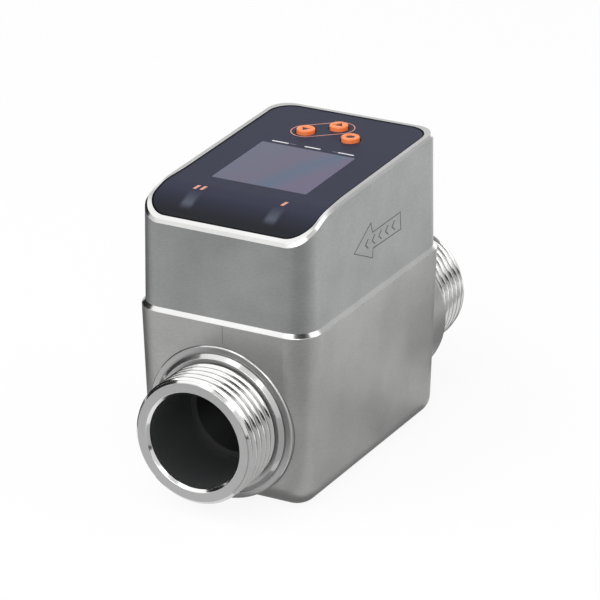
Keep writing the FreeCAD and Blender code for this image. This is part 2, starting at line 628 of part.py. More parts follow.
# Threaded fittings, liners and measuring tube
def make_flow_path():
    collar = "(collar_diameter / 2)"
    hub = "(hub_diameter / 2)"
    front, back = local(COLLAR_FRONT), local(COLLAR_BACK)
    shoulder = "(%s - hub_rise)" % front
    boss_end = local(BOSS_END)
    tube_end = "(tube_length / 2)"
    outlet = turned("outlet_fitting", "y", [
        (OUTLET_END, MOUTH + " + mouth_chamfer"), (OUTLET_END, CREST + " - end_chamfer"),
        (OUTLET_END + " + end_chamfer", CREST), (shoulder + " - thread_relief", CREST),
        (shoulder + " - thread_relief", ROOT), (shoulder, ROOT),
        (shoulder, hub + " - hub_bevel"), (shoulder + " + hub_bevel", hub),
        (front + " + hub_groove", hub), (front + " + hub_groove", hub + " + hub_groove"),
        (front, hub + " + hub_groove"), (front, collar + " - collar_edge"),
        (front + " + collar_edge", collar), (back, collar), (back, SPIGOT),
        ("-%s + spigot_overlap" % tube_end, SPIGOT), ("-%s + spigot_overlap" % tube_end, SOCKET),
        (OUTLET_END + " + mouth_lip", SOCKET), (OUTLET_END + " + mouth_lip", MOUTH),
        (OUTLET_END + " + mouth_chamfer", MOUTH)])
    thread(outlet, OUTLET_END, CREST, "thread_depth", "thread_pitch", "thread_crest",
           "(%s - thread_relief / 2 - %s)" % (shoulder, OUTLET_END), 1)
    inlet = turned("inlet_fitting", "y", [
        (tube_end + " - spigot_overlap", SOCKET), (tube_end + " - spigot_overlap", SPIGOT),
        (boss_end, SPIGOT), (boss_end, ROOT), (boss_end + " + thread_relief", ROOT),
        (boss_end + " + thread_relief", CREST), (INLET_END + " - end_chamfer", CREST),
        (INLET_END, CREST + " - end_chamfer"), (INLET_END, MOUTH + " + mouth_chamfer"),
        (INLET_END + " - mouth_chamfer", MOUTH), (INLET_END + " - mouth_lip", MOUTH),
        (INLET_END + " - mouth_lip", SOCKET)])
    thread(inlet, INLET_END, CREST, "thread_depth", "thread_pitch", "thread_crest",
           "(%s - %s - thread_relief / 2)" % (INLET_END, boss_end), -1)
    turned("outlet_liner", "y", tube_profile(OUTLET_END + " + mouth_lip", "-" + tube_end, MOUTH, LINER))
    turned("inlet_liner", "y", tube_profile(tube_end, INLET_END + " - mouth_lip", MOUTH, LINER))

    # Two grooves near the tube's ends hold the ring seals
    seal_y = "(tube_length / 2 - spigot_overlap / 2)"
    seal_half = "(tube_seal_thickness / 2 + slip_gap)"
    groove = "(%s - tube_seal_thickness)" % LINER
    tube = turned("measuring_tube", "y", [
        ("-" + tube_end, "tube_bore / 2"), ("-" + tube_end, LINER),
        ("-%s - %s" % (seal_y, seal_half), LINER), ("-%s - %s" % (seal_y, seal_half), groove),
        ("-%s + %s" % (seal_y, seal_half), groove), ("-%s + %s" % (seal_y, seal_half), LINER),
        ("%s - %s" % (seal_y, seal_half), LINER), ("%s - %s" % (seal_y, seal_half), groove),
        ("%s + %s" % (seal_y, seal_half), groove), ("%s + %s" % (seal_y, seal_half), LINER),
        (tube_end, LINER), (tube_end, "tube_bore / 2")])
    holes = sketch(tube, "electrode_holes", "XY_Plane")
    circle(holes, ("0", "0"), "(electrode_diameter / 2 + slip_gap)")
    pocket(tube, holes, middle=True)
    probe = sketch(tube, "probe_hole", "XY_Plane")
    circle(probe, ("0", "probe_place"), "(electrode_diameter / 2 + slip_gap)")
    pocket(tube, probe)
    for label, side in (("outlet_tube_seal", "-"), ("inlet_tube_seal", "")):
        middle_radius = "(%s - tube_seal_thickness / 2)" % LINER
        ring(label, "y", middle_radius, "tube_seal_thickness", ("0", side + seal_y, "0"))


# Electrodes, temperature probe, coils and iron yoke around the tube
def make_sensing():
    tip = "(tube_bore / 2 + electrode_flush)"
    top = "(%s + electrode_reach)" % LINER
    turned("upper_electrode", "z", tube_profile(tip, top, "0", "electrode_diameter / 2"))
    turned("lower_electrode", "z", tube_profile("-" + top, "-" + tip, "0", "electrode_diameter / 2"))
    under = "(%s + slip_gap)" % LINER
    over = "(%s + washer_thickness)" % under
    hole = "electrode_diameter + 2 * slip_gap"
    washers, nuts = [], []
    nut_end = "(%s + nut_thickness)" % over
    for name, washer_z, nut_z in (("upper", under, over), ("lower", "-" + over, "-" + nut_end)):
        disc = rod(name + "_washer_disc", "z", "washer_diameter", "washer_thickness", ("0", "0", washer_z))
        bore = rod(name + "_washer_bore", "z", hole, "washer_thickness", ("0", "0", washer_z))
        washers.append(cut(name + "_washer", disc, bore))
        nuts.append(hex_nut(name + "_nut", "z", "nut_size", hole, "nut_thickness", ("0", "0", nut_z)))
    group("electrode_seals", washers)
    group("electrode_nuts", nuts)
    probe_top = "(%s + probe_head_height)" % over
    turned("temperature_probe", "z", [
        (tip, "0"), (tip, "electrode_diameter / 2"), (over, "electrode_diameter / 2"),
        (over, "probe_head / 2"), (probe_top, "probe_head / 2"), (probe_top, "0")],
        ("0", "probe_place", "0"))
    seal = tube_profile(under, over, "electrode_diameter / 2 + slip_gap", "washer_diameter / 2")
    turned("probe_seal", "z", seal, ("0", "probe_place", "0"))

    near, far = COIL_NEAR, COIL_FAR
    barrel = "(core_diameter / 2 + slip_gap)"
    wound = "(core_diameter / 2 + slip_gap + bobbin_wall)"
    rim = "(coil_diameter / 2)"
    for side, sign in (("left", "-"), ("right", "")):
        def along(formula):
            return sign + formula
        turned(side + "_core", "x", tube_profile(along(near), along(far), "0", "core_diameter / 2"))
        turned(side + "_bobbin", "x", [
            (along(near), barrel), (along(near), rim), (along("(%s + bobbin_wall)" % near), rim),
            (along("(%s + bobbin_wall)" % near), wound), (along("(%s - bobbin_wall)" % far), wound),
            (along("(%s - bobbin_wall)" % far), rim), (along(far), rim), (along(far), barrel)])
        turned(side + "_winding", "x", tube_profile(
            along("(%s + bobbin_wall + slip_gap)" % near), along("(%s - bobbin_wall - slip_gap)" % far),
            wound + " + slip_gap", rim + " - winding_inset"))

    yoke = new_body("yoke")
    strap = sketch(yoke, "yoke_profile", "XZ_Plane")
    outer = "(%s + yoke_thickness)" % far
    under_top = "(yoke_height - yoke_thickness)"
    outline(strap, [
        ("-" + outer, "-" + rim), ("-" + far, "-" + rim), ("-" + far, under_top), (far, under_top),
        (far, "-" + rim), (outer, "-" + rim), (outer, "yoke_height"), ("-" + outer, "yoke_height")])
    pad(yoke, strap, "yoke_width", middle=True)
    way = sketch(yoke, "lead_hole", "XY_Plane")
    circle(way, ("0", "0"), "lead_diameter")
    pocket(yoke, way)
    return top, nut_end, rim, probe_top


# Wires from the sensing parts to the underside of the main board
def make_leads(electrode_top, nut_end, coil_rim, probe_top):
    board = "(main_board_height - board_thickness)"
    beside = "(%s + lead_offset + lead_diameter / 2)" % coil_rim
    behind = "(%s + 2 * lead_diameter)" % beside
    low = "(-%s - slip_gap - lead_diameter / 2)" % nut_end

    def wire(name, start, end_z=board):
        return rod(name, "z", "lead_diameter", "%s - %s" % (end_z, start[2]), start)

    wires = [wire("upper_electrode_lead", ("0", "0", electrode_top)),
             wire("probe_lead", ("0", "probe_place", probe_top)),
             wire("left_coil_lead", ("-" + LEAD_X, beside, "0")),
             wire("right_coil_lead", (LEAD_X, beside, "0"))]

    # The lower electrode's wire runs back, across and up beside the right coil
    runs = [rod("lower_lead_back", "y", "lead_diameter", "%s - electrode_diameter / 2" % behind,
                ("0", "electrode_diameter / 2", low)),
            rod("lower_lead_across", "x", "lead_diameter", LEAD_X, ("0", behind, low)),
            wire("lower_lead_up", (LEAD_X, behind, low))]
    for name, across in (("lower_lead_first_bend", "0"), ("lower_lead_second_bend", LEAD_X)):
        bend = put(doc.addObject("Part::Sphere", name), (across, behind, low))
        bend.setExpression("Radius", cells("lead_diameter / 2"))
        runs.append(bend)
    lower = doc.addObject("Part::MultiFuse", "lower_electrode_lead")
    lower.Shapes = runs
    group("sensor_leads", wires + [lower])


# Panel with its window, buttons, light guides and seal
def make_panel():
    body = new_body("front_panel")
    plan = sketch(body, "panel_plan", "XY_Plane", PANEL_BASE)
    rounded(plan, PANEL_X, PANEL_Y, PANEL_CORNER)
    pad(body, plan, "crown_height - %s + tan(crown_slope) * housing_length" % PANEL_BASE)
    pocket(body, crown(body, "panel_line", "panel_sink"), middle=True)
    inside = crown(body, "panel_ceiling", "panel_sink + panel_thickness", False, "seat_height",
                   "(%s - panel_skirt)" % PANEL_Y)
    pocket(body, inside, "2 * (%s - panel_skirt)" % PANEL_X, middle=True)
    posts = sketch(body, "panel_posts", "XY_Plane", "board_height")
    for place in POSTS:
        circle(posts, place, "post_diameter / 2")
    pad(body, posts, "crown_height - panel_sink - panel_thickness / 2 - board_height")
    bites = sketch(body, "post_holes", "XY_Plane", "board_height")
    for place in POSTS:
        circle(bites, place, "%s / 2" % SCREW_HOLE)
    pocket(body, bites, "screw_bite + slip_gap")
    openings = sketch(body, "panel_openings", "XY_Plane", PANEL_BASE)
    rounded(openings, "(display_width / 2)", "(display_length / 2)", "window_corner",
            ("0", "-display_setback"))
    for label, across, along in BUTTONS:
        circle(openings, (across, along), "button_diameter / 2 + button_gap")
    for side, across in GUIDES:
        rounded(openings, "(guide_width / 2)", "(guide_length / 2)", "window_corner",
                (across, GUIDE_Y))
    pocket(body, openings)
    put(body, MIDDLE)

    seal = new_body("panel_seal")
    frame = sketch(seal, "seal_plan", "XY_Plane", "seat_height")
    rounded(frame, PANEL_X, PANEL_Y, PANEL_CORNER)
    rounded(frame, *SEAT_OPENING)
    pad(seal, frame, "seal_thickness")
    put(seal, MIDDLE)

    flush_piece("display_window", "(display_width / 2 - window_gap)", "(display_length / 2 - window_gap)",
                ("0", "-display_setback"), "board_height + display_depth")
    for side, across in GUIDES:
        flush_piece(side + "_light_guide", "(guide_width / 2 - window_gap)",
                    "(guide_length / 2 - window_gap)", (across, GUIDE_Y),
                    "board_height + 2 * lamp_height")


def flush_piece(label, half_x, half_y, place, base):
    """A clear piece that fills an opening of the panel up to its surface."""
    body = new_body(label)
    plan = sketch(body, label + "_plan", "XY_Plane", base)
    rounded(plan, half_x, half_y, "(window_corner - window_gap)", place)
    pad(body, plan, "crown_height + tan(crown_slope) * housing_length - (%s)" % base)
    pocket(body, crown(body, label + "_line", "panel_sink"), middle=True)
    put(body, MIDDLE)


def make_buttons():
    cap = "(button_diameter / 2)"
    flange = "(button_diameter / 2 + button_flange)"
    under = "(-panel_thickness - button_gap)"
    for label, across, along in BUTTONS:
        level = panel_level(along)
        foot = "(board_height + switch_height + button_travel + button_gap - %s)" % level
        turned(label, "z", [
            (foot, "0"), (foot, "button_stem / 2"), (under + " - button_flange", "button_stem / 2"),
            (under + " - button_flange", flange), (under, flange), (under, cap),
            ("button_rise - button_edge", cap), ("button_rise", cap + " - button_edge"),
            ("button_rise", "0")], (across, local(along), level))


# Boards, display module, switches, light chips, spacers and screws
def board(label, base, front, rear):
    """A circuit board with holes for the post screws."""
    body = new_body(label)
    plan = sketch(body, label + "_plan", "XY_Plane", base)
    left, right = "-" + BOARD_X, BOARD_X
    outline(plan, [(left, "-" + front), (right, "-" + front), (right, rear), (left, rear)])
    for place in POSTS:
        circle(plan, place, "%s / 2" % SCREW_HOLE)
    pad(body, plan, "board_thickness")
    put(body, MIDDLE)


def fused(name, base, tool):
    """Two solids joined to one."""
    thing = doc.addObject("Part::Fuse", name)
    thing.Base = base
    thing.Tool = tool
    return thing


def make_electronics():
    main_base = "(main_board_height - board_thickness)"
    between = "(%s - main_board_height)" % BOARD_BASE
    board("display_board", BOARD_BASE, BOARD_Y, BOARD_Y)
    board("main_board", main_base, MAIN_BOARD_FRONT, MAIN_BOARD_REAR)
    node(block("display_module", "display_width + 2 * display_border",
               "display_length + 2 * display_border", "display_depth",
               ("0", local("-display_setback"), "board_height")), "display_module")
    switches = []
    for label, across, along in BUTTONS:
        place = (across, local(along), "board_height")
        base = block(label + "_switch_base", "switch_side", "switch_side", "switch_body", place)
        plunger = rod(label + "_plunger", "z", "switch_plunger", "switch_height", place)
        switches.append(fused(label + "_switch", base, plunger))
    group("key_switches", switches)
    group("status_lamps", [
        block(side + "_lamp", "lamp_side", "lamp_side", "lamp_height",
              (across, local(GUIDE_Y), "board_height")) for side, across in GUIDES])
    node(block("board_link", "link_width", "link_depth", between,
               ("0", local("link_inset - %s" % MAIN_BOARD_FRONT), "main_board_height")), "board_link")
    spacers, screws = [], []
    for index, (across, along) in enumerate(POSTS):
        place = (across, local(along), "main_board_height")
        sleeve = rod("spacer_%d_body" % index, "z", "post_diameter", between, place)
        bore = rod("spacer_%d_bore" % index, "z", SCREW_HOLE, between, place)
        spacers.append(cut("spacer_%d" % index, sleeve, bore))
        foot = (across, local(along), main_base + " - screw_head_height")
        head = rod("screw_%d_head" % index, "z", "screw_head", "screw_head_height", foot)
        shank = rod("screw_%d_shank" % index, "z", "screw_diameter",
                    "board_height + screw_bite - %s + screw_head_height" % main_base, foot)
        screws.append(fused("screw_%d" % index, head, shank))
    group("board_spacers", spacers)
    group("board_screws", screws)
    middle = local("0")
    chip = block("processor", "chip_side", "chip_side", "chip_height", ("0", middle, "main_board_height"))
    capacitors = [
        rod(side + "_capacitor", "z", "capacitor_diameter", "capacitor_height",
            (across, middle, "main_board_height"))
        for side, across in (("left", "-capacitor_spread"), ("right", "capacitor_spread"))]
    group("board_components", [chip] + capacitors)


# Plug socket on the inlet side of the upper housing
def make_connector():
    across, wall_y, up = "0", local("housing_length / 2"), "connector_height"
    crest, cavity = "(connector_thread / 2)", "(connector_cavity / 2)"
    shank, flange = "(connector_shank / 2)", "(connector_flange / 2)"
    plate, reach = "connector_flange_thickness", "connector_reach"
    seal_radius = "(%s + connector_seal_thickness)" % shank
    groove_in = "(%s - connector_seal_thickness / 2 - slip_gap)" % seal_radius
    groove_out = "(%s + connector_seal_thickness / 2 + slip_gap)" % seal_radius
    groove_end = "(slip_gap + connector_seal_thickness)"
    shell = turned("connector_shell", "y", [
        ("-connector_tail", cavity), ("-connector_tail", shank), ("slip_gap", shank),
        ("slip_gap", groove_in), (groove_end, groove_in), (groove_end, groove_out),
        ("slip_gap", groove_out), ("slip_gap", flange), (plate, flange), (plate, crest),
        (reach + " - connector_depth", crest), (reach, crest + " - connector_depth"),
        (reach, cavity)], (across, wall_y, up))
    thread(shell, reach, crest, "connector_depth", "connector_pitch", "connector_crest",
           "(%s - %s - connector_pitch)" % (reach, plate), -1)
    ring("connector_seal", "y", seal_radius, "connector_seal_thickness",
         (across, wall_y + " + slip_gap + connector_seal_thickness / 2", up))
    insert = new_body("connector_insert")
    face = sketch(insert, "insert_plan", "XZ_Plane")
    circle(face, ("0", "0"), cavity + " - slip_gap")
    arm = "(pin_circle / 2)"
    spots = ((arm, "0"), ("-" + arm, "0"), ("0", arm), ("0", "-" + arm))
    for place in spots:
        circle(face, place, "(pin_diameter / 2 + slip_gap)")
    pad(insert, face, "connector_tail + connector_reach - insert_depth", down=True)
    put(insert, (across, wall_y + " - connector_tail", up))
    pin_start = "(%s - connector_tail - pin_tail)" % wall_y
    pin_length = "connector_tail + pin_tail + connector_reach - pin_setback"
    group("connector_pins", [
        rod("pin_%d" % index, "y", "pin_diameter", pin_length, (x, pin_start, "%s + %s" % (up, z)))
        for index, (x, z) in enumerate(spots)])
    nut_at = (across, wall_y + " - wall - slip_gap - connector_nut_thickness", up)
    node(hex_nut("connector_nut", "y", "connector_nut", "(connector_shank + 2 * slip_gap)",
                 "connector_nut_thickness", nut_at), "connector_nut")
    board_height = "%s + connector_board_edge + connector_height - main_board_height" % arm
    node(block("connector_board", "connector_board_width", "connector_board_thickness", board_height,
               (across, pin_start + " - connector_board_thickness / 2", "main_board_height")),
         "connector_board")


make_lower_housing()
make_upper_housing()
make_flow_path()
make_leads(*make_sensing())
make_panel()
make_buttons()
make_electronics()
make_connector()
doc.recompute()

faults = [thing.Name for thing in doc.Objects if {"Invalid", "Error"} & set(thing.State)]
faults += [thing.Label for thing in nodes if thing.Shape.isNull() or not thing.Shape.isValid()]
if faults:
    raise RuntimeError("failed: " + ", ".join(faults))
os.makedirs("parts", exist_ok=True)
for thing in nodes:
    thing.Shape.exportStep(os.path.join("parts", thing.Label + ".step"))
    print(thing.Label, len(thing.Shape.Solids), round(thing.Shape.Volume, 1))
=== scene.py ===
"""Looks of the electromagnetic flow sensor: steel finishes, turned fittings, buttons and printed marks."""

import json
import math

import bpy
import numpy as np
from mathutils import Matrix, Vector


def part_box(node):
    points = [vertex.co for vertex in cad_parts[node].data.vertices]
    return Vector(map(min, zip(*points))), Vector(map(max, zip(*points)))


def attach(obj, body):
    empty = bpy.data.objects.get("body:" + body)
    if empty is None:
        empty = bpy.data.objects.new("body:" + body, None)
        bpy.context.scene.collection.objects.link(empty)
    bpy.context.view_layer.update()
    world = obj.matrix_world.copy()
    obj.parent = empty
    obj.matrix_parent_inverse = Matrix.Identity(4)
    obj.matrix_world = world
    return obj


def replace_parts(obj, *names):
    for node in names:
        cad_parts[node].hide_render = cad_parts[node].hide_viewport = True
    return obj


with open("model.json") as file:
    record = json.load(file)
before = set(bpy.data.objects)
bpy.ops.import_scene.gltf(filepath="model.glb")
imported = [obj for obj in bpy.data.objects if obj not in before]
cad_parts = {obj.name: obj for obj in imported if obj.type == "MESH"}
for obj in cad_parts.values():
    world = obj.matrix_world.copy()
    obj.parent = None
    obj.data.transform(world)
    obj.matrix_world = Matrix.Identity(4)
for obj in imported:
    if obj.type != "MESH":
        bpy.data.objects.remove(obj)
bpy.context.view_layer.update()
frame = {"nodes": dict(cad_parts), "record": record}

# Sizes in metres, from the frame where it has them
MM = 0.001
upper_low, upper_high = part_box("upper_housing")
lower_low, lower_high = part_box("lower_housing")
outlet_low, outlet_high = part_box("outlet_fitting")
inlet_low, inlet_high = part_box("inlet_fitting")
MIDDLE_Y = (upper_low.y + upper_high.y) / 2
HALF_WIDTH = upper_high.x
HALF_LENGTH = (upper_high.y - upper_low.y) / 2
JOINT_Z = lower_high.z
BASE_Z = lower_low.z
LEDGE = 1.0 * MM
UPPER_SLOPE = math.tan(math.radians(0.7))
LOWER_SLOPE = math.tan(math.radians(2.0))

# Line of the panel along the housing
panel_low, panel_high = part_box("front_panel")
PANEL_SLOPE = math.tan(math.radians(1.7))
PANEL_LEVEL = panel_high.z - PANEL_SLOPE * (panel_high.y - MIDDLE_Y)
BEND_START = -22.0 * MM
BEND_RADIUS = 22.5 * MM
# Distances in front of the bend's start over which the painted shade of the bend fades in
BEND_SHADE_BLEND = (11.5 * MM, 4.5 * MM)
PRINT_THICKNESS = 0.03 * MM

# Pipe threads and fittings
CREST_RADIUS = 16.625 * MM
THREAD_DEPTH = 1.48 * MM
THREAD_PITCH = 2.309 * MM
CREST_FLAT = 0.16
ROOT_FLAT = 0.04
THREAD_EASE = 0.4
LEAD_START = 0.2 * MM
LEAD_TURNS = 0.7
END_CHAMFER = 0.97 * MM
MOUTH_RADIUS = 12.6 * MM
MOUTH_CHAMFER = 0.75 * MM
LIP_LENGTH = 1.0 * MM
SOCKET_RADIUS = 13.75 * MM
SPIGOT_RADIUS = 16.95 * MM
THREAD_RELIEF = 0.5 * MM
COLLAR_EDGE = 0.3 * MM
COLLAR_STAND = 1.0 * MM
COLLAR_THICKNESS = 2.5 * MM
HUB_RADIUS = 18.5 * MM
HUB_RISE = 1.4 * MM
HUB_BEVEL = 1.0 * MM
HUB_GROOVE = 0.25 * MM
TURNED_EDGE = 0.12 * MM

# How finely the surfaces are divided
ROUND_STEPS = 240
TURN_ROWS = 26
EDGE_ROWS = 5
CORNER_STEPS = 64
EDGE_STEPS = 480
STRIP_ROWS = 24
BUTTON_STEPS = 144
PILL_STEPS = 40


# Meshes
def link(name, points, faces, smooth=True):
    """An object at the origin with this mesh, shaded smooth or flat."""
    mesh = bpy.data.meshes.new(name)
    mesh.from_pydata(points.reshape(-1, 3), [], faces)
    mesh.polygons.foreach_set("use_smooth", np.full(len(mesh.polygons), smooth))
    mesh.update()
    made = bpy.data.objects.new(name, mesh)
    bpy.context.scene.collection.objects.link(made)
    return made


def cells(rows, columns, wrap_rows, wrap_columns):
    """Corner numbers of each cell of a grid, row by row, with the last row or column joined to the first."""
    row = np.arange(rows if wrap_rows else rows - 1)[:, None]
    column = np.arange(columns if wrap_columns else columns - 1)[None, :]
    next_row = (row + 1) % rows
    next_column = (column + 1) % columns
    corners = (row * columns + column, row * columns + next_column,
               next_row * columns + next_column, next_row * columns + column)
    return np.stack(np.broadcast_arrays(*corners), -1).reshape(-1, 4)


def soft_profile(points, radius):
    """Closed outline with soft corners.

    Each corner becomes a quadratic curve from one side to the next. It starts and ends one radius from
    the corner, or a quarter along a side that is short. A further point on each side, half as far again,
    keeps the rest of that side flat.
    """
    points = np.asarray(points, float)
    before = np.roll(points, 1, 0) - points
    after = np.roll(points, -1, 0) - points
    length_before = np.linalg.norm(before, axis=1, keepdims=True)
    length_after = np.linalg.norm(after, axis=1, keepdims=True)
    start = before / length_before * np.minimum(radius, length_before / 4)
    end = after / length_after * np.minimum(radius, length_after / 4)
    t = np.linspace(0, 1, EDGE_ROWS)[None, :, None]
    curve = (1 - t) ** 2 * start[:, None] + t ** 2 * end[:, None]
    soft = np.concatenate([1.5 * start[:, None], curve, 1.5 * end[:, None]], 1)
    return (points[:, None] + soft).reshape(-1, 2)


def rounded_rectangle(half_x, half_y, corner):
    """Outline of a rectangle with round corners: a circle's quarters moved apart to the four corners."""
    turn = (np.arange(CORNER_STEPS) + 0.5) * 2 * math.pi / CORNER_STEPS
    circle = np.stack([np.cos(turn), np.sin(turn)], -1)
    return np.sign(circle) * (half_x - corner, half_y - corner) + corner * circle


def evenly(outline, count):
    """A closed outline as so many points at even distances along it."""
    closed = np.vstack([outline, outline[:1]])
    travelled = np.concatenate([[0], np.cumsum(np.linalg.norm(np.diff(closed, axis=0), axis=1))])
    place = np.linspace(0, travelled[-1], count, endpoint=False)
    return np.stack([np.interp(place, travelled, closed[:, axis]) for axis in (0, 1)], -1)


def plate(name, outline, surface):
    """Thin slab on a surface: the outline at two lifts, with a face on each and walls between."""
    count = len(outline)
    points = np.concatenate([surface(outline, PRINT_THICKNESS), surface(outline, -PRINT_THICKNESS)])
    index = np.arange(count)
    following = (index + 1) % count
    walls = np.stack([index, index + count, following + count, following], -1).tolist()
    return link(name, points, [index.tolist(), (count + index[::-1]).tolist()] + walls, False)


def ring(name, outer, inner, surface, lift):
    """Flat ring on a surface: the four-sided section between two equally long outlines, carried round."""
    rows = [surface(outer, -lift), surface(outer, lift), surface(inner, lift), surface(inner, -lift)]
    return link(name, np.stack(rows), cells(4, len(outer), True, True)[:, ::-1].tolist(), False)


def line_around(name, outline, surface, width):
    """Raised line of even width along a closed outline.

    Each corner is mitred: it moves along the sum of its two edge normals over one plus their product.
    """
    edge = np.roll(outline, -1, 0) - outline
    edge /= np.linalg.norm(edge, axis=1, keepdims=True)
    normal = np.stack([edge[:, 1], -edge[:, 0]], -1)
    previous = np.roll(normal, 1, 0)
    mitre = (normal + previous) / (1 + (normal * previous).sum(1, keepdims=True))
    return ring(name, outline + mitre * width / 2, outline - mitre * width / 2, surface, PRINT_THICKNESS)


def strip(name, left, right, front, rear, surface):
    """Thin slab that follows a curved surface: its four-sided section carried from front to rear."""
    along = np.linspace(front, rear, STRIP_ROWS)
    high, low = PRINT_THICKNESS, -PRINT_THICKNESS
    section = ((left, low), (right, low), (right, high), (left, high))
    columns = [surface(np.stack([np.full(STRIP_ROWS, across), along], -1), lift) for across, lift in section]
    faces = cells(STRIP_ROWS, 4, False, True)[:, ::-1].tolist()
    last = 4 * STRIP_ROWS - 1
    ends = [[0, 1, 2, 3], [last, last - 1, last - 2, last - 3]]
    return link(name, np.stack(columns, 1), faces + ends, False)


# Surfaces that the marks lie on: a flat outline and a lift give points
def panel_height(along):
    """Height of the panel: a slope behind the bend, and an arc that leaves it smoothly in front."""
    angle = math.atan(PANEL_SLOPE)
    hub = BEND_START + BEND_RADIUS * math.sin(angle)
    hub_z = PANEL_LEVEL + PANEL_SLOPE * BEND_START - BEND_RADIUS * math.cos(angle)
    arc = hub_z + np.sqrt(BEND_RADIUS ** 2 - np.minimum(along - hub, 0) ** 2)
    return np.where(along > BEND_START, PANEL_LEVEL + PANEL_SLOPE * along, arc)


def on_panel(outline, lift):
    """Across and along the panel, from the housing's middle."""
    return np.stack([outline[:, 0], MIDDLE_Y + outline[:, 1], panel_height(outline[:, 1]) + lift], -1)


def on_right_wall(outline, lift):
    """Along the right wall from the housing's middle, and height above the pipe axis."""
    wall = HALF_WIDTH - UPPER_SLOPE * (outline[:, 1] - JOINT_Z)
    return np.stack([wall + lift, MIDDLE_Y + outline[:, 0], outline[:, 1]], -1)


def on_front_wall(outline, lift):
    """Across the lower front wall, and height above the pipe axis."""
    wall = MIDDLE_Y - HALF_LENGTH - LEDGE + LOWER_SLOPE * (JOINT_Z - outline[:, 1])
    return np.stack([outline[:, 0], wall - lift, outline[:, 1]], -1)


# Shader trees
def add(tree, kind, inputs=None, **settings):
    """A shader node with its settings, and its inputs set to values or joined to other sockets."""
    made = tree.nodes.new("ShaderNode" + kind)
    for name, value in settings.items():
        setattr(made, name, value)
    for name, value in (inputs or {}).items():
        if isinstance(value, bpy.types.NodeSocket):
            tree.links.new(value, made.inputs[name])
        else:
            made.inputs[name].default_value = value
    return made


def new_material(name):
    """A material with an empty tree, and its Object coordinates."""
    made = bpy.data.materials.new(name)
    made.use_nodes = True
    made.node_tree.nodes.clear()
    return made, made.node_tree, add(made.node_tree, "TexCoord").outputs["Object"]


def surface_of(tree, shader):
    """Join the first output of a shader to the tree's output."""
    add(tree, "OutputMaterial", {"Surface": shader.outputs[0]})


def blended(tree, share, first, second):
    """Two shaders mixed by a share from 0 to 1."""
    return add(tree, "MixShader", {0: share, 1: first.outputs[0], 2: second.outputs[0]})


def worked(tree, operation, *values):
    """One step of arithmetic on values or sockets."""
    return add(tree, "Math", dict(enumerate(values)), operation=operation).outputs["Value"]


def mapped(tree, value, start, end, low=0.0, high=1.0, curve="LINEAR"):
    """A value carried from the range between start and end to the one between low and high."""
    return add(tree, "MapRange", {"Value": value, "From Min": start, "From Max": end, "To Min": low,
                                  "To Max": high}, interpolation_type=curve).outputs["Result"]


def noise(tree, place, scale, detail=4.0, stretch=None):
    """Noise of so many features to the metre, stretched along an axis where asked."""
    if stretch:
        place = add(tree, "Mapping", {"Vector": place, "Scale": stretch}).outputs["Vector"]
    return add(tree, "TexNoise", {"Vector": place, "Scale": scale, "Detail": detail}).outputs["Fac"]


def ramp(tree, value, stops):
    """Colours along a value: each stop is a place from 0 to 1 and a colour."""
    made = add(tree, "ValToRGB", {"Fac": value})
    elements = made.color_ramp.elements
    while len(elements) < len(stops):
        elements.new(0.5)
    for element, (place, colour) in zip(elements, stops):
        element.position = place
        element.color = (*colour, 1.0)
    return made.outputs["Color"]


def spread(tree, value, low, high):
    """A value from 0 to 1 carried over to a range."""
    return mapped(tree, value, 0.0, 1.0, low, high)


def bump(tree, height, strength, depth):
    """Normals bent by a height pattern."""
    return add(tree, "Bump", {"Height": height, "Strength": strength, "Distance": depth}).outputs["Normal"]


def shade(colour, amount):
    """A colour made lighter or darker."""
    return tuple(min(1.0, channel * amount) for channel in colour)


def grained(name, colour, vary=0.12, scale=900.0, rough=(0.4, 0.55), metal=0.0, depth=0.02 * MM, **sockets):
    """A moulded or machined finish: a grain that varies colour and gloss and dents the surface a little."""
    made, tree, place = new_material(name)
    grain = noise(tree, place, scale)
    broad = noise(tree, place, scale / 12, 2.0)
    inputs = {
        "Base Color": ramp(tree, broad, [(0.3, shade(colour, 1 - vary)), (0.7, shade(colour, 1 + vary))]),
        "Roughness": spread(tree, grain, *rough),
        "Normal": bump(tree, grain, 0.25, depth),
        "Metallic": metal,
    }
    surface_of(tree, add(tree, "BsdfPrincipled", {**inputs, **sockets}))
    return made


# Finishes of the main surfaces
STEEL = (0.290, 0.294, 0.293)
STEEL_MOTTLE = 0.12
LOWER_STEEL = (0.350, 0.352, 0.347)
LOWER_MOTTLE = 0.10
POLISHED = (0.56, 0.56, 0.556)
BRIGHT_STEEL = (0.62, 0.62, 0.615)
FACED_STEEL = (0.35, 0.352, 0.35)
# The panel's top colour is dark with a painted violet sheen, and the bend's colour is painted shade
PANEL_TONE_AND_SHEEN = (0.034, 0.036, 0.060)
BEND_SHADE = (0.020, 0.021, 0.025)
PANEL_SHEEN = 0.02
LAMP_DIM = (0.074, 0.085, 0.112)
LAMP_LIGHT = (0.082, 0.093, 0.122)
# Grey violet tone of the display, and a painted sheen as a band of blue and rose
DISPLAY_TONE_AND_SHEEN = ((0.25, (0.078, 0.080, 0.138)), (0.52, (0.086, 0.076, 0.132)),
                (0.72, (0.052, 0.084, 0.150)), (0.90, (0.088, 0.074, 0.142)))


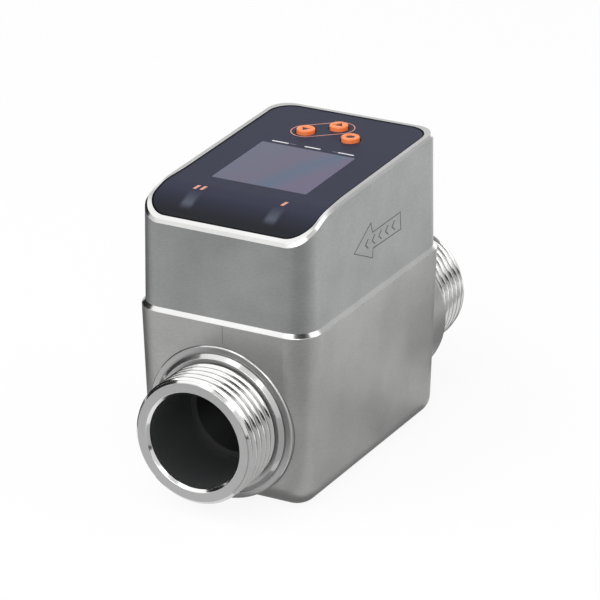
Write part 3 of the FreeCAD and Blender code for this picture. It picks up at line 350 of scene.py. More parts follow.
def blasted_steel(name, colour, mottle):
    """Fine blasted stainless steel with a close speckle and a soft mottle, polished on marked faces."""
    made, tree, place = new_material(name)
    speckle = noise(tree, place, 2000.0, 3.0, stretch=(0.45, 0.45, 1.5))
    cloud = noise(tree, place, 70.0, 3.0)
    both = worked(tree, "MULTIPLY_ADD", speckle, 0.55, cloud)
    dark, light = shade(colour, 1 - 1.5 * mottle), shade(colour, 1 + mottle)
    blasted = add(tree, "BsdfPrincipled", {
        "Base Color": ramp(tree, both, [(0.45, dark), (1.0, light)]),
        "Metallic": 1.0,
        "Roughness": spread(tree, cloud, 0.4, 0.5),
        "Normal": bump(tree, speckle, 0.35, 0.03 * MM),
    })
    polished = add(tree, "BsdfPrincipled", {
        "Base Color": ramp(tree, cloud, [(0.3, shade(POLISHED, 0.96)), (0.7, shade(POLISHED, 1.04))]),
        "Metallic": 1.0,
        "Roughness": spread(tree, cloud, 0.16, 0.24),
    })
    marked = add(tree, "Attribute", attribute_name="polished").outputs["Fac"]
    surface_of(tree, blended(tree, marked, blasted, polished))
    return made


def turned_steel():
    """Bright lathe-turned steel with fine rings across the pipe axis.

    Painted shade makes the thread's roots dark, and the steel is duller where a face is marked as faced.
    """
    made, tree, place = new_material("turned_steel")
    rings = noise(tree, place, 60.0, 2.0, stretch=(0.4, 90.0, 0.4))
    cloud = noise(tree, place, 160.0, 3.0)
    across = add(tree, "VectorMath", {0: place, 1: (1, 0, 1)}, operation="MULTIPLY").outputs["Vector"]
    radius = add(tree, "VectorMath", {0: across}, operation="LENGTH").outputs["Value"]
    wavy = worked(tree, "MULTIPLY_ADD", cloud, 0.2 * MM, radius)
    level = mapped(tree, wavy, CREST_RADIUS - THREAD_DEPTH - 0.4 * MM, CREST_RADIUS)
    # Painted shade: dark steel at the radius of the thread's roots and the relief groove
    root_shade = shade(BRIGHT_STEEL, 0.16)
    stops = [(0.10, BRIGHT_STEEL), (0.16, root_shade), (0.38, root_shade), (0.68, BRIGHT_STEEL)]
    bright = add(tree, "BsdfPrincipled", {
        "Base Color": ramp(tree, level, stops),
        "Metallic": 1.0,
        "Roughness": spread(tree, rings, 0.08, 0.15),
        "Normal": bump(tree, rings, 0.12, 0.01 * MM),
    })
    faced = add(tree, "BsdfPrincipled", {
        "Base Color": ramp(tree, cloud, [(0.3, shade(FACED_STEEL, 0.97)), (0.7, shade(FACED_STEEL, 1.03))]),
        "Metallic": 1.0,
        "Roughness": spread(tree, cloud, 0.32, 0.40),
    })
    marked = add(tree, "Attribute", attribute_name="faced").outputs["Fac"]
    surface_of(tree, blended(tree, marked, bright, faced))
    return made


def display_glass():
    """Dark display behind glass: grey violet, with a painted sheen as a slanting band of blue and rose
    towards the right.
    """
    made, tree, place = new_material("display_glass")
    axes = add(tree, "SeparateXYZ", {"Vector": place}).outputs
    slant = worked(tree, "MULTIPLY_ADD", axes["Y"], -0.32, axes["X"])
    cloud = noise(tree, place, 90.0, 2.0)
    wavy = worked(tree, "MULTIPLY_ADD", cloud, 6.0 * MM, slant)
    surface_of(tree, add(tree, "BsdfPrincipled", {
        "Base Color": ramp(tree, mapped(tree, wavy, -10.0 * MM, 20.0 * MM), DISPLAY_TONE_AND_SHEEN),
        "Roughness": spread(tree, cloud, 0.12, 0.18),
        "Specular IOR Level": 0.3,
    }))
    return made


def panel_look(name, glow=None):
    """Smooth dark panel, with a violet sheen painted on top and painted shade that makes the bend darker and
    neutral; a glow may show through it.

    The glow is a function that gives the tree a mask from 0 to 1.
    """
    made, tree, place = new_material(name)
    grain = noise(tree, place, 2400.0)
    along = add(tree, "SeparateXYZ", {"Vector": place}).outputs["Y"]
    # Painted shade: the colour darkens from the flat top towards the bend
    flat = mapped(tree, along, *(MIDDLE_Y + BEND_START - distance for distance in BEND_SHADE_BLEND))
    colour = ramp(tree, flat, [(0.0, BEND_SHADE), (1.0, PANEL_TONE_AND_SHEEN)])
    if glow:
        light = ramp(tree, grain, [(0.3, LAMP_DIM), (0.7, LAMP_LIGHT)])
        colour = add(tree, "Mix", {0: glow(tree, place), 6: colour, 7: light}, data_type="RGBA").outputs[2]
    surface_of(tree, add(tree, "BsdfPrincipled", {
        "Base Color": colour,
        "Roughness": spread(tree, grain, 0.30, 0.38),
        "Specular IOR Level": PANEL_SHEEN,
    }))
    return made


def lamp_glow(across, along, half_width, half_length):
    """Mask of a light window: soft at the front end, fading to the rear and blurred at its sides."""
    def mask(tree, place):
        """The product of three shares: across, from the front up to the peak, and from there to the rear."""
        axes = add(tree, "SeparateXYZ", {"Vector": place}).outputs
        offset = worked(tree, "ABSOLUTE", worked(tree, "SUBTRACT", axes["X"], across))
        side = mapped(tree, offset, 0.5 * half_width, 1.35 * half_width, 1.0, 0.0, "SMOOTHSTEP")
        peak = along - 0.4 * half_length
        front = mapped(tree, axes["Y"], along - 1.25 * half_length, peak, curve="SMOOTHSTEP")
        fade = mapped(tree, axes["Y"], peak, along + 1.3 * half_length, 1.0, 0.0)
        return worked(tree, "MULTIPLY", worked(tree, "MULTIPLY", side, front), fade)
    return mask


def wound_copper():
    """Enamelled copper wire: close turns as fine rings across the coil."""
    made, tree, place = new_material("wound_copper")
    turns = add(tree, "TexWave", {"Vector": place, "Scale": 900.0, "Distortion": 0.6},
                wave_type="BANDS", bands_direction="X").outputs["Fac"]
    surface_of(tree, add(tree, "BsdfPrincipled", {
        "Base Color": ramp(tree, turns, [(0.2, (0.28, 0.09, 0.03)), (0.8, (0.62, 0.27, 0.12))]),
        "Metallic": 1.0,
        "Roughness": spread(tree, turns, 0.28, 0.45),
        "Normal": bump(tree, turns, 0.6, 0.1 * MM),
    }))
    return made


# A finish for each slot of the record, and those of the marks
ORANGE = (1.0, 0.235, 0.068)
FINISHES = {
    "blasted_steel": blasted_steel("blasted_steel", STEEL, STEEL_MOTTLE),
    "turned_steel": turned_steel(),
    "liner_black": grained("liner_black", (0.05, 0.052, 0.053), rough=(0.25, 0.4), scale=500.0),
    "tube_plastic": grained("tube_plastic", (0.03, 0.031, 0.032), rough=(0.3, 0.45), scale=500.0),
    "seal_rubber": grained("seal_rubber", (0.015, 0.015, 0.015), rough=(0.55, 0.7)),
    "electrode_steel": grained("electrode_steel", BRIGHT_STEEL, 0.05, rough=(0.12, 0.22), metal=1.0),
    "core_iron": grained("core_iron", (0.16, 0.155, 0.15), rough=(0.45, 0.6), metal=1.0),
    "bobbin_plastic": grained("bobbin_plastic", (0.62, 0.58, 0.48), 0.05, rough=(0.4, 0.5)),
    "copper_wire": wound_copper(),
    "lead_insulation": grained("lead_insulation", (0.45, 0.03, 0.025), rough=(0.35, 0.5)),
    "panel_plastic": panel_look("panel_plastic"),
    "window_clear": display_glass(),
    "guide_smoke": grained("guide_smoke", (0.075, 0.08, 0.1), 0.1, 700.0, rough=(0.2, 0.3)),
    "button_orange": grained("button_orange", ORANGE, 0.05, 1500.0, rough=(0.42, 0.52), depth=0.01 * MM,
                             **{"Subsurface Weight": 0.35, "Subsurface Radius": (1.0, 0.5, 0.3),
                                "Subsurface Scale": 1.2 * MM}),
    "board_green": grained("board_green", (0.02, 0.11, 0.045), 0.15, 300.0, rough=(0.3, 0.4)),
    "module_grey": grained("module_grey", (0.03, 0.03, 0.033), rough=(0.45, 0.6)),
    "lamp_white": grained("lamp_white", (0.75, 0.74, 0.62), 0.05, rough=(0.25, 0.35)),
    "screw_steel": grained("screw_steel", (0.5, 0.5, 0.48), 0.06, rough=(0.22, 0.34), metal=1.0),
    "socket_metal": grained("socket_metal", (0.5, 0.49, 0.46), 0.06, rough=(0.2, 0.3), metal=1.0),
    "pin_gold": grained("pin_gold", (0.72, 0.47, 0.13), 0.06, rough=(0.18, 0.28), metal=1.0),
}
PRINT_WHITE = grained("print_white", (0.72, 0.72, 0.74), 0.04, 1800.0, rough=(0.45, 0.55))
PRINT_ROSE = grained("print_rose", (0.66, 0.28, 0.21), 0.06, 1800.0, rough=(0.45, 0.55))
PRINT_GREY = grained("print_grey", (0.12, 0.11, 0.15), 0.06, 1800.0, rough=(0.45, 0.55))
# Painted shade of the gap round the panel, drawn as a dark line
GAP_SHADE = grained("painted_gap_shade", (0.006, 0.006, 0.007), 0.06, 1800.0, rough=(0.45, 0.55),
                      **{"Specular IOR Level": PANEL_SHEEN})
SEAM_STEEL = grained("seam_steel", (0.22, 0.22, 0.22), 0.08, 1500.0, rough=(0.45, 0.55), metal=1.0)
ETCHED = grained("etched_line", (0.05, 0.05, 0.05), 0.15, 2500.0, rough=(0.5, 0.65))
# Painted shade for the floor of the symbol holes in the buttons
SYMBOL_SHADE = grained("painted_symbol_shade", (0.03, 0.012, 0.01), 0.1, 1800.0, rough=(0.5, 0.6))


def dress(piece, finish, body="sensor"):
    """Give a new piece its finish and the body that it rides on."""
    piece.data.materials.append(finish)
    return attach(piece, body)


# Every solid of the frame gets the finish of its slot, and the lower housing a lighter one of its own
for entry in frame["record"]["subparts"]:
    shown = frame["nodes"][entry["node"]]
    shown.data.materials.clear()
    shown.data.materials.append(FINISHES[entry["material_slot"]])
lower_housing = frame["nodes"]["lower_housing"].data
lower_housing.materials[0] = blasted_steel("brushed_steel", LOWER_STEEL, LOWER_MOTTLE)


def mark(mesh, attribute, chosen):
    """Mark the faces of a mesh with a share from 0 to 1, worked out from face centres and normals."""
    count = len(mesh.polygons)
    centre, normal = np.empty(3 * count), np.empty(3 * count)
    mesh.polygons.foreach_get("center", centre)
    mesh.polygons.foreach_get("normal", normal)
    held = chosen(centre.reshape(-1, 3), normal.reshape(-1, 3))
    mesh.attributes.new(attribute, "FLOAT", "FACE").data.foreach_set("value", held.astype(np.float32))


# Edges of the housings that were machined bright: faces that look up, close to the rim or the joint
RIM_DEPTH = 1.1 * MM
LEDGE_DEPTH = 1.5 * LEDGE
FACES_UP = 0.2
mark(frame["nodes"]["upper_housing"].data, "polished", lambda centre, normal: (
    (normal[:, 2] > FACES_UP) & (centre[:, 2] > panel_height(centre[:, 1] - MIDDLE_Y) - RIM_DEPTH)))
mark(lower_housing, "polished", lambda centre, normal: (
    (normal[:, 2] > FACES_UP) & (centre[:, 2] > JOINT_Z - LEDGE_DEPTH)))


# Threaded fittings
FACES_ALONG = 0.95
HUB_SHARE = 0.5
OUTSIDE_RADIUS = CREST_RADIUS + 0.1 * MM


def threaded(depth, angle, direction, end_y):
    """Radius of the thread: a triangle wave with eased crests and roots along a right-hand helix.

    The way down a flank is s from 0 to 1, and THREAD_EASE of it is taken as 3 s^2 - 2 s^3.
    """
    y = end_y + direction * depth
    phase = (y / THREAD_PITCH + angle / (2 * math.pi)) % 1
    slant = np.clip((np.abs(2 * phase - 1) - CREST_FLAT) / (1 - CREST_FLAT - ROOT_FLAT), 0, 1)
    eased = slant ** 2 * (3 - 2 * slant)
    return CREST_RADIUS - THREAD_DEPTH * ((1 - THREAD_EASE) * slant + THREAD_EASE * eased)


def fitting(name, end_y, direction, body_profile, thread_end):
    """Turned fitting: a closed profile of depth and radius carried round the pipe axis.

    The thread lies between the sealing face and the thread's end. There the radius is the lesser of the
    end chamfer and the helix, which deepens over its first turn. The rest is the body profile with soft
    corners, from the middle of its first corner to the start of the sealing face's outer edge.
    """
    depth = np.linspace(0, thread_end, int(thread_end / THREAD_PITCH * TURN_ROWS))
    chamfer = CREST_RADIUS - np.maximum(END_CHAMFER - depth, 0)
    profile = [(thread_end, CREST_RADIUS)] + body_profile + [(0, CREST_RADIUS - END_CHAMFER)]
    corner_points = EDGE_ROWS + 2
    first_used = corner_points + 1 + EDGE_ROWS // 2
    rest = soft_profile(profile, TURNED_EDGE)[first_used:-EDGE_ROWS]
    angle = np.linspace(0, 2 * math.pi, ROUND_STEPS, endpoint=False)
    helix = threaded(depth[:, None], angle[None, :], direction, end_y)
    deepening = np.clip((depth - LEAD_START) / (LEAD_TURNS * THREAD_PITCH), 0, 1)
    cut = np.minimum(CREST_RADIUS - (CREST_RADIUS - helix) * deepening[:, None], chamfer[:, None])
    radius = np.concatenate([cut, np.repeat(rest[:, 1:], ROUND_STEPS, 1)])
    along = end_y + direction * np.concatenate([depth, rest[:, 0]])
    grid = np.stack([radius * np.cos(angle), np.broadcast_to(along[:, None], radius.shape),
                     radius * np.sin(angle)], -1)
    faces = cells(len(along), ROUND_STEPS, True, True)
    made = link(name, grid, (faces if direction > 0 else faces[:, ::-1]).tolist())
    mark(made.data, "faced", faced_share)
    return made


def faced_share(centre, normal):
    """Whole on faces across the pipe axis, half on the hub and collar outside the thread, none elsewhere."""
    outside = np.hypot(centre[:, 0], centre[:, 2]) > OUTSIDE_RADIUS
    return np.where(np.abs(normal[:, 1]) > FACES_ALONG, 1.0, HUB_SHARE * outside)


def mouth_profile(spigot_end):
    """Inside of a fitting, from the spigot's end to the inner edge of the sealing face."""
    return [(spigot_end, SPIGOT_RADIUS), (spigot_end, SOCKET_RADIUS), (LIP_LENGTH, SOCKET_RADIUS),
            (LIP_LENGTH, MOUTH_RADIUS), (MOUTH_CHAMFER, MOUTH_RADIUS), (0, MOUTH_RADIUS + MOUTH_CHAMFER)]


def make_fittings():
    """The outlet with its hub and collar in front of the wall, and the inlet up to the end of the boss."""
    root = CREST_RADIUS - THREAD_DEPTH
    collar = outlet_high.x
    spigot_end = outlet_high.y - outlet_low.y
    wall = MIDDLE_Y - HALF_LENGTH - LEDGE + LOWER_SLOPE * JOINT_Z
    front = wall - COLLAR_STAND - outlet_low.y
    back = front + COLLAR_THICKNESS
    shoulder = front - HUB_RISE
    relief = shoulder - THREAD_RELIEF
    outlet = fitting("turned_outlet", outlet_low.y, 1, [
        (relief, root), (shoulder, root), (shoulder, HUB_RADIUS - HUB_BEVEL),
        (shoulder + HUB_BEVEL, HUB_RADIUS), (front + HUB_GROOVE, HUB_RADIUS),
        (front + HUB_GROOVE, HUB_RADIUS + HUB_GROOVE), (front, HUB_RADIUS + HUB_GROOVE),
        (front, collar - COLLAR_EDGE), (front + COLLAR_EDGE, collar), (back, collar),
        (back, SPIGOT_RADIUS)] + mouth_profile(spigot_end), relief)
    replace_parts(dress(outlet, FINISHES["turned_steel"]), "outlet_fitting")

    boss_end = inlet_high.y - lower_high.y
    relief = boss_end - THREAD_RELIEF
    inlet = fitting("turned_inlet", inlet_high.y, -1, [
        (relief, root), (boss_end, root), (boss_end, SPIGOT_RADIUS)]
        + mouth_profile(inlet_high.y - inlet_low.y), relief)
    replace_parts(dress(inlet, FINISHES["turned_steel"]), "inlet_fitting")


# Push buttons with a symbol sunk into the cap, whose floor is painted dark as shade
BUTTON_FLANGE = 0.9 * MM
BUTTON_RISE = 1.05 * MM
PANEL_THICKNESS = 2.5 * MM
STEM_RADIUS = 1.4 * MM
CAP_EDGE = 0.35 * MM
SYMBOL_RIM = ((0.10, 0.0), (0.03, 0.02), (0.0, 0.08), (-0.06, 0.3))
SYMBOL_INSET = 0.05 * MM
TOUCHING = 1e-9
TRIANGLE_SIZE = 1.75 * MM
DISC_RADIUS = 1.25 * MM


def triangle(size, turn):
    """Radius of a triangle around its middle: its inner radius over the cosine of the angle to the side."""
    third = 2 * math.pi / 3
    return lambda angle: size / 2 / np.cos((angle - turn) % third - third / 2)


def disc(radius):
    """The same radius all round."""
    return lambda angle: np.full(angle.shape, radius)


def make_button(node, symbol):
    """Stem, flange and cap carried round the button's axis, with a hole of the symbol's outline on top.

    Each row of SYMBOL_RIM gives how far the hole's edge lies outside the symbol and below the top, in mm.
    """
    low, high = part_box(node)
    x, y = (low.x + high.x) / 2, (low.y + high.y) / 2
    flange = (high.x - low.x) / 2
    cap = flange - BUTTON_FLANGE
    top, foot = high.z, low.z
    shelf = top - BUTTON_RISE - PANEL_THICKNESS
    angle = np.linspace(0, 2 * math.pi, BUTTON_STEPS, endpoint=False)
    circle = np.stack([np.cos(angle), np.sin(angle)], -1)
    plain = soft_profile([
        (0, foot), (STEM_RADIUS, foot), (STEM_RADIUS, shelf - BUTTON_FLANGE),
        (flange, shelf - BUTTON_FLANGE), (flange, shelf), (cap, shelf), (cap, top),
        (0, top)], CAP_EDGE)
    below_top = plain[:, 1] < top - TOUCHING
    plain = plain[(plain[:, 0] > STEM_RADIUS / 2) & (below_top | (plain[:, 0] > cap / 2))]
    rim = np.array(SYMBOL_RIM) * MM
    radius = np.concatenate([np.repeat(plain[:, :1], BUTTON_STEPS, 1), symbol(angle)[None, :] + rim[:, :1]])
    height = np.concatenate([plain[:, 1], top - rim[:, 1]])
    grid = np.stack([x + radius * circle[:, 0], y + radius * circle[:, 1],
                     np.broadcast_to(height[:, None], radius.shape)], -1)
    rows = len(height)
    first = np.arange(BUTTON_STEPS)
    ends = [first[::-1].tolist(), ((rows - 1) * BUTTON_STEPS + first).tolist()]
    piece = link(node.replace("button", "cap"), grid, cells(rows, BUTTON_STEPS, False, True).tolist() + ends)
    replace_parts(dress(piece, FINISHES["button_orange"], node), node)

    def in_hole(outline, lift):
        """Across and along from the button's axis, at the bottom of the hole."""
        return np.stack([x + outline[:, 0], y + outline[:, 1], np.full(len(outline), height[-1] + lift)], -1)

    # The hole's floor is a dark plate: painted shade at the bottom of the hole
    outline = (symbol(angle) - SYMBOL_INSET)[:, None] * circle
    floor = plate(node.replace("button", "symbol"), outline, in_hole)
    dress(floor, SYMBOL_SHADE, node)


# Light windows, rim trim, prints, wall seam and etched arrow; spans, ends and points in brackets are in mm
DASHES = ((-11.3, -6.6), (-1.9, 2.6), (7.6, 12.1))
DASH_ALONG = 10.6 * MM
DASH_WIDTH = 0.5 * MM
TICKS = ((-6.3, -4.4), (6.0, 7.3))
TICK_WIDTH = 0.3 * MM
EDGE_LINE = 0.4 * MM
EDGE_CORNER = 6.05 * MM
TRIM_WIDTH = 0.5 * MM
TRIM_OVERLAP = 0.17 * MM
TRIM_LIFT = 0.14 * MM
TRIM_TAPER_START = 10 * MM
TRIM_TAPER_END = 21 * MM
SEAM = ((0.92, 21.5), (1.08, 26.3))
PILL_ENDS = ((-6.6, 20.1), (0.1, 25.6))
PILL_RADIUS = 3.95 * MM
PILL_LINE = 0.24 * MM
SLASHES = ((-13.6, -25.4), (-11.75, -25.3), (11.1, -25.4))
SLASH_RUN = (0.45, 2.0)
SLASH_WIDTH = 0.85 * MM
ARROW = ((-12.0, 40.6), (-2.2, 36.1), (-1.9, 38.6), (13.3, 38.4), (13.1, 43.1), (-2.1, 42.9), (-3.0, 45.7))
ARROW_LINE = 0.22 * MM
CHEVRONS = (-6.2, -2.6, 1.0, 4.6, 8.2)
CHEVRON_RUN = 1.5 * MM
CHEVRON_RISE = 1.25 * MM
CHEVRON_WIDTH = 0.5 * MM
ARROW_MIDDLE = 40.7 * MM
WINDOW_MARGIN = 1.3 * MM


def make_windows():
    """Skins over the two light guides, wide enough to cover their gaps."""
    for side in ("left", "right"):
        low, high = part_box(side + "_light_guide")
        across, along = (low.x + high.x) / 2, (low.y + high.y) / 2
        half_width, half_length = (high.x - low.x) / 2, (high.y - low.y) / 2
        look = panel_look(side + "_window", lamp_glow(across, along, half_width, half_length))
        skin = strip(side + "_window_skin", low.x - WINDOW_MARGIN, high.x + WINDOW_MARGIN,
                     low.y - MIDDLE_Y - WINDOW_MARGIN, high.y - MIDDLE_Y + WINDOW_MARGIN, on_panel)
        dress(skin, look)


def box_outline(left, right, low, high):
    """Corners of an upright rectangle."""
    return np.array([(left, low), (right, low), (right, high), (left, high)])


def make_rim_trim():
    """Bright inner edge of the rim: a ring over the panel's edge, with a dark line of painted gap shade
    inside it.

    The ring reaches TRIM_WIDTH in from the panel's edge at the rear and the sides. Along the bend its
    sides ease out to that edge: x is scaled by 1 - TRIM_WIDTH / half_x * (3 s^2 - 2 s^3), where s runs
    from 0 to 1 between the two ends of the taper, measured from the panel's front.
    """
    half_x, half_y = (panel_high.x - panel_low.x) / 2, (panel_high.y - panel_low.y) / 2
    forward = TRIM_WIDTH / 2
    taper = TRIM_TAPER_END - TRIM_TAPER_START

    def inner_outline(inset):
        """The ring's inner edge, or a line so far inside it."""
        outline = rounded_rectangle(half_x - inset, half_y - forward - inset, EDGE_CORNER)
        outline = evenly(outline, EDGE_STEPS) - (0, forward)
        share = np.clip((outline[:, 1] + half_y - TRIM_TAPER_START) / taper, 0, 1)
        outline[:, 0] *= 1 - TRIM_WIDTH / half_x * share ** 2 * (3 - 2 * share)
        return outline

    outer = rounded_rectangle(half_x + TRIM_OVERLAP, half_y + TRIM_OVERLAP, EDGE_CORNER + TRIM_OVERLAP)
    trim = ring("rim_trim", evenly(outer, EDGE_STEPS), inner_outline(0), on_panel, TRIM_LIFT)
    mark(trim.data, "polished", lambda centre, normal: np.ones(len(centre)))
    dress(trim, FINISHES["blasted_steel"])
    # Painted shade: a dark line inside the ring, where the gap round the panel shows dark
    edge = line_around("gap_shade_line", inner_outline(EDGE_LINE / 2), on_panel, EDGE_LINE)
    dress(edge, GAP_SHADE)


def make_dashes():
    """White dashes behind the display and the faint ticks between them."""
    for name, spans, width, finish in (("white_dash", DASHES, DASH_WIDTH, PRINT_WHITE),
                                       ("grey_tick", TICKS, TICK_WIDTH, PRINT_GREY)):
        for index, (left, right) in enumerate(spans):
            outline = box_outline(left * MM, right * MM, DASH_ALONG - width / 2, DASH_ALONG + width / 2)
            dress(plate("%s_%d" % (name, index), outline, on_panel), finish)


def make_seam():
    """Faint upright seam on the lower front wall."""
    (left, low), (right, high) = np.array(SEAM) * MM
    seam = plate("wall_seam", box_outline(left, right, low, high), on_front_wall)
    dress(seam, SEAM_STEEL)


def make_button_marks():
    """Long round outline about two buttons, of two half circles, and slanting dashes at the bend."""
    first, last = np.array(PILL_ENDS) * MM
    heading = math.atan2(*(last - first)[::-1])
    turn = np.linspace(math.pi / 2, 3 * math.pi / 2, PILL_STEPS) + heading
    rounds = np.stack([np.cos(turn), np.sin(turn)], -1) * PILL_RADIUS
    pill = np.concatenate([first + rounds, last - rounds])
    dress(line_around("pill_outline", pill, on_panel, PILL_LINE), PRINT_ROSE)
    run = np.array(SLASH_RUN) * MM
    side = np.array([SLASH_WIDTH / 2, 0])
    for index, foot in enumerate(np.array(SLASHES) * MM):
        outline = np.array([foot - side, foot + side, foot + run + side, foot + run - side])
        dress(plate("slash_%d" % index, outline, on_panel), PRINT_ROSE)


def make_arrow():
    """Etched outline of an arrow on the right wall, with plain chevrons in it."""
    arrow = line_around("flow_arrow", np.array(ARROW) * MM, on_right_wall, ARROW_LINE)
    dress(arrow, ETCHED)
    for index, tip in enumerate(np.array(CHEVRONS) * MM):
        back = tip + CHEVRON_RUN
        outline = np.array([
            (tip, 0), (back, -CHEVRON_RISE), (back + CHEVRON_WIDTH, -CHEVRON_RISE),
            (tip + CHEVRON_WIDTH, 0), (back + CHEVRON_WIDTH, CHEVRON_RISE), (back, CHEVRON_RISE)])
        outline[:, 1] += ARROW_MIDDLE
        dress(plate("chevron_%d" % index, outline, on_right_wall), ETCHED)


make_windows()
make_fittings()
make_rim_trim()
make_button("down_button", triangle(TRIANGLE_SIZE, -math.pi / 2))
make_button("up_button", triangle(TRIANGLE_SIZE, math.pi / 2))
make_button("enter_button", disc(DISC_RADIUS))
make_dashes()
make_seam()
make_button_marks()
make_arrow()


# Studio: pale floor, three soft boxes, and cards that only reflections see
FLOOR_HALF = 3.0
LAMP_AIM = Vector((0, 0, 0.02))
# Name, place, width, height and radiance of each soft box
SOFT_BOXES = (
    ("left_box", (-0.30, -0.33, 0.70), 0.72, 0.75, 1.7),
    ("right_box", (0.66, 0.36, 0.70), 0.48, 0.70, 1.7),
    ("front_box", (0.38, -1.15, 0.66), 0.9, 0.7, 3.5),
)
CARD_Z = BASE_Z + 0.2 * MM
# Name, radiance and corners of each card; a corner without a height lies just above the floor
CARDS = (
    ("gap_card", 0.02, ((0.06, -0.33, 0.62), (0.06, 0.1, 0.62), (0.45, 0.1, 0.62), (0.45, -0.33, 0.62))),
    ("horizon_card", 0.02, ((0.15, 0.75), (0.75, 0.4), (0.75, 0.4, 0.12), (0.15, 0.75, 0.12))),
    ("left_card", 0.02, ((-0.6, -0.3), (-0.6, 0.4), (-0.6, 0.4, 0.6), (-0.6, -0.3, 0.6))),
    ("corner_card", 0.62, ((0.014, -0.42), (0.40, -0.42), (0.30, -0.06), (0.012, -0.05))),
    ("front_card", 0.12, ((-0.2, -0.34), (0.012, -0.34), (0.012, -0.17), (-0.2, -0.17))),
    ("near_card", 1.2, ((-0.12, -0.17), (0.012, -0.17), (0.012, -0.062), (-0.12, -0.062))),
    ("foot_card", 0.36, ((0.018, -0.05), (0.0265, -0.04), (0.0265, 0.026), (0.018, 0.026))),
    ("front_foot_card", 0.36, ((-0.02, -0.052), (0.018, -0.05), (0.018, -0.03), (-0.02, -0.03))),
    ("base_card", 0.8, ((0.0265, -0.04), (0.07, -0.03), (0.07, 0.004), (0.0265, 0.004))),
    ("side_card", 0.6, ((0.0265, 0.004), (0.07, 0.004), (0.07, 0.026), (0.0265, 0.026))),
    ("thread_card", 0.36, ((0.014, 0.05), (0.07, 0.05), (0.07, 0.2), (-0.02, 0.2))),
    ("right_card", 1.6, ((0.075, 0.03), (0.26, 0.0), (0.26, 0.3), (0.075, 0.26))),
    ("sky_card", 1.6, ((-0.5, -0.6, 0.30), (-0.12, -0.6, 0.30), (-0.12, 0.05, 0.52), (-0.5, 0.05, 0.52))),
    ("brow_card", 1.5, ((-0.55, 0.40, 0.37), (0.05, 0.40, 0.37), (0.05, 0.24, 0.50), (-0.55, 0.24, 0.50))),
    ("back_card", 0.85, ((-0.6, 0.5, 0.10), (0.05, 0.5, 0.10), (0.05, 0.41, 0.36), (-0.6, 0.41, 0.36))),
    ("rear_card", 1.7, ((-0.12, 0.13), (0.05, 0.13), (0.05, 0.13, 0.095), (-0.12, 0.13, 0.095))),
    ("front_sky_card", 1.7, ((-0.35, -0.9, 0.07), (0.55, -0.9, 0.07), (0.55, -0.9, 0.55),
                             (-0.35, -0.9, 0.55))),
    ("front_horizon_card", 0.02, ((0.04, -0.27), (0.35, -0.25), (0.5, -0.42, 0.035), (0.06, -0.47, 0.035))),
    ("left_floor_card", 0.15, ((-0.3, -0.06), (-0.06, -0.06), (-0.05, 0.15), (-0.3, 0.15))),
    ("ledge_card", 0.7, ((0.1, 0.38, 0.14), (0.32, 0.34, 0.14), (0.32, 0.34, 0.32), (0.1, 0.38, 0.32))),
)


def seen_share(tree, share):
    """A share for what the camera, a mirror or glass sees, and nothing for other rays."""
    path = add(tree, "LightPath").outputs
    seen = worked(tree, "MAXIMUM", path["Is Camera Ray"], path["Is Glossy Ray"])
    return worked(tree, "MULTIPLY", worked(tree, "MAXIMUM", seen, path["Is Transmission Ray"]), share)


def make_floor():
    """Wide level square under the sensor, white where it is seen and matt where it is lit."""
    corners = box_outline(-FLOOR_HALF, FLOOR_HALF, -FLOOR_HALF, FLOOR_HALF)
    floor = link("floor", np.column_stack([corners, np.full(4, BASE_Z)]), [(0, 1, 2, 3)], False)
    made, tree, place = new_material("pale_floor")
    cloud = noise(tree, place, 3.0)
    matt = add(tree, "BsdfDiffuse", {"Color": ramp(tree, cloud, [(0.3, (0.86,) * 3), (0.7, (0.9,) * 3)])})
    white = add(tree, "Emission", {"Color": (1, 1, 1, 1), "Strength": 1.0})
    surface_of(tree, blended(tree, seen_share(tree, 0.9), matt, white))
    floor.data.materials.append(made)


def make_world():
    """White surroundings: full where they are seen, and softer where they light the sensor."""
    world = bpy.data.worlds.new("studio")
    world.use_nodes = True
    tree = world.node_tree
    tree.nodes.clear()
    seen = add(tree, "Background", {"Color": (1, 1, 1, 1), "Strength": 1.0})
    soft = add(tree, "Background", {"Color": (1, 1, 1, 1), "Strength": 0.6})
    mixed = blended(tree, seen_share(tree, 1.0), soft, seen)
    add(tree, "OutputWorld", {"Surface": mixed.outputs["Shader"]})
    bpy.context.scene.world = world


def softbox(name, place, width, height, radiance):
    """A rectangular lamp of even radiance, turned towards the sensor."""
    lamp = bpy.data.lights.new(name, "AREA")
    lamp.shape = "RECTANGLE"
    lamp.size, lamp.size_y = width, height
    lamp.energy = radiance * math.pi * width * height
    made = bpy.data.objects.new(name, lamp)
    made.location = place
    made.rotation_euler = (LAMP_AIM - Vector(place)).to_track_quat("-Z", "Y").to_euler()
    bpy.context.scene.collection.objects.link(made)


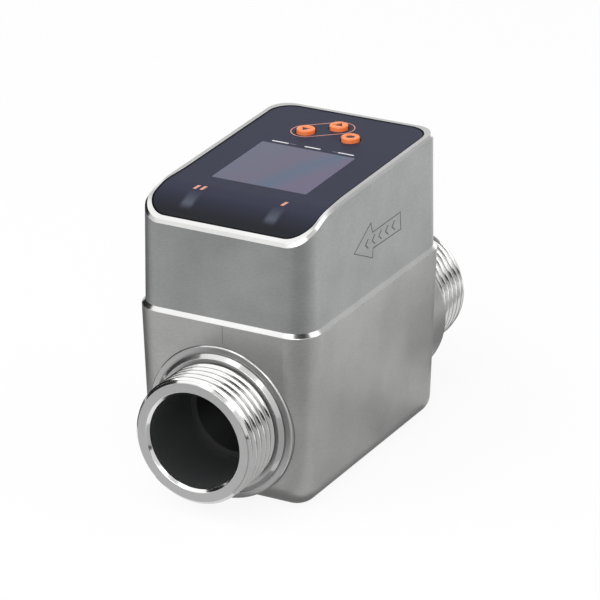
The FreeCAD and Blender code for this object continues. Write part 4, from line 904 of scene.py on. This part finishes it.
def card(name, radiance, corners):
    """A card beside the set, dark, grey or bright with faint clouds, which only mirror reflections see."""
    points = np.array([(*corner, CARD_Z)[:3] for corner in corners])
    made = link(name, points, [(0, 1, 2, 3)], False)
    finish, tree, place = new_material(name)
    clouds = ramp(tree, noise(tree, place, 8.0), [(0.3, (0.97,) * 3), (0.7, (1.0,) * 3)])
    surface_of(tree, add(tree, "Emission", {"Color": clouds, "Strength": radiance}))
    made.data.materials.append(finish)
    made.visible_camera = False
    made.visible_diffuse = False
    made.visible_shadow = False


def make_studio():
    """The floor, the surroundings, the lamps and the cards."""
    make_floor()
    make_world()
    for box in SOFT_BOXES:
        softbox(*box)
    for row in CARDS:
        card(*row)


# Camera at the photo's viewing angle, with its focus in pixels of the image
CAMERA_AZIMUTH = math.radians(28.523)
CAMERA_ELEVATION = math.radians(22.684)
CAMERA_ROLL = math.radians(-0.213)
CAMERA_DISTANCE = 978.329 * MM
CAMERA_TARGET = np.array([2.339 * MM, MIDDLE_Y - 0.08 * MM, 19.598 * MM])
CAMERA_FOCUS = 3842.331
IMAGE_WIDTH = 600


def make_camera():
    """The camera on a line from its target, given by azimuth and elevation, and rolled about that line."""
    back = np.array([math.sin(CAMERA_AZIMUTH) * math.cos(CAMERA_ELEVATION),
                     -math.cos(CAMERA_AZIMUTH) * math.cos(CAMERA_ELEVATION), math.sin(CAMERA_ELEVATION)])
    level = np.array([math.cos(CAMERA_AZIMUTH), math.sin(CAMERA_AZIMUTH), 0])
    upright = np.cross(back, level)
    right = math.cos(CAMERA_ROLL) * level + math.sin(CAMERA_ROLL) * upright
    up = math.cos(CAMERA_ROLL) * upright - math.sin(CAMERA_ROLL) * level
    place = CAMERA_TARGET + back * CAMERA_DISTANCE
    view = bpy.data.cameras.new("camera")
    view.lens = CAMERA_FOCUS / IMAGE_WIDTH * view.sensor_width
    made = bpy.data.objects.new("camera", view)
    turned = np.eye(4)
    turned[:3] = np.stack([right, up, back, place], -1)
    made.matrix_world = Matrix(turned.tolist())
    bpy.context.scene.collection.objects.link(made)
    bpy.context.scene.camera = made


make_studio()
make_camera()
bpy.context.scene.view_settings.view_transform = "Standard"
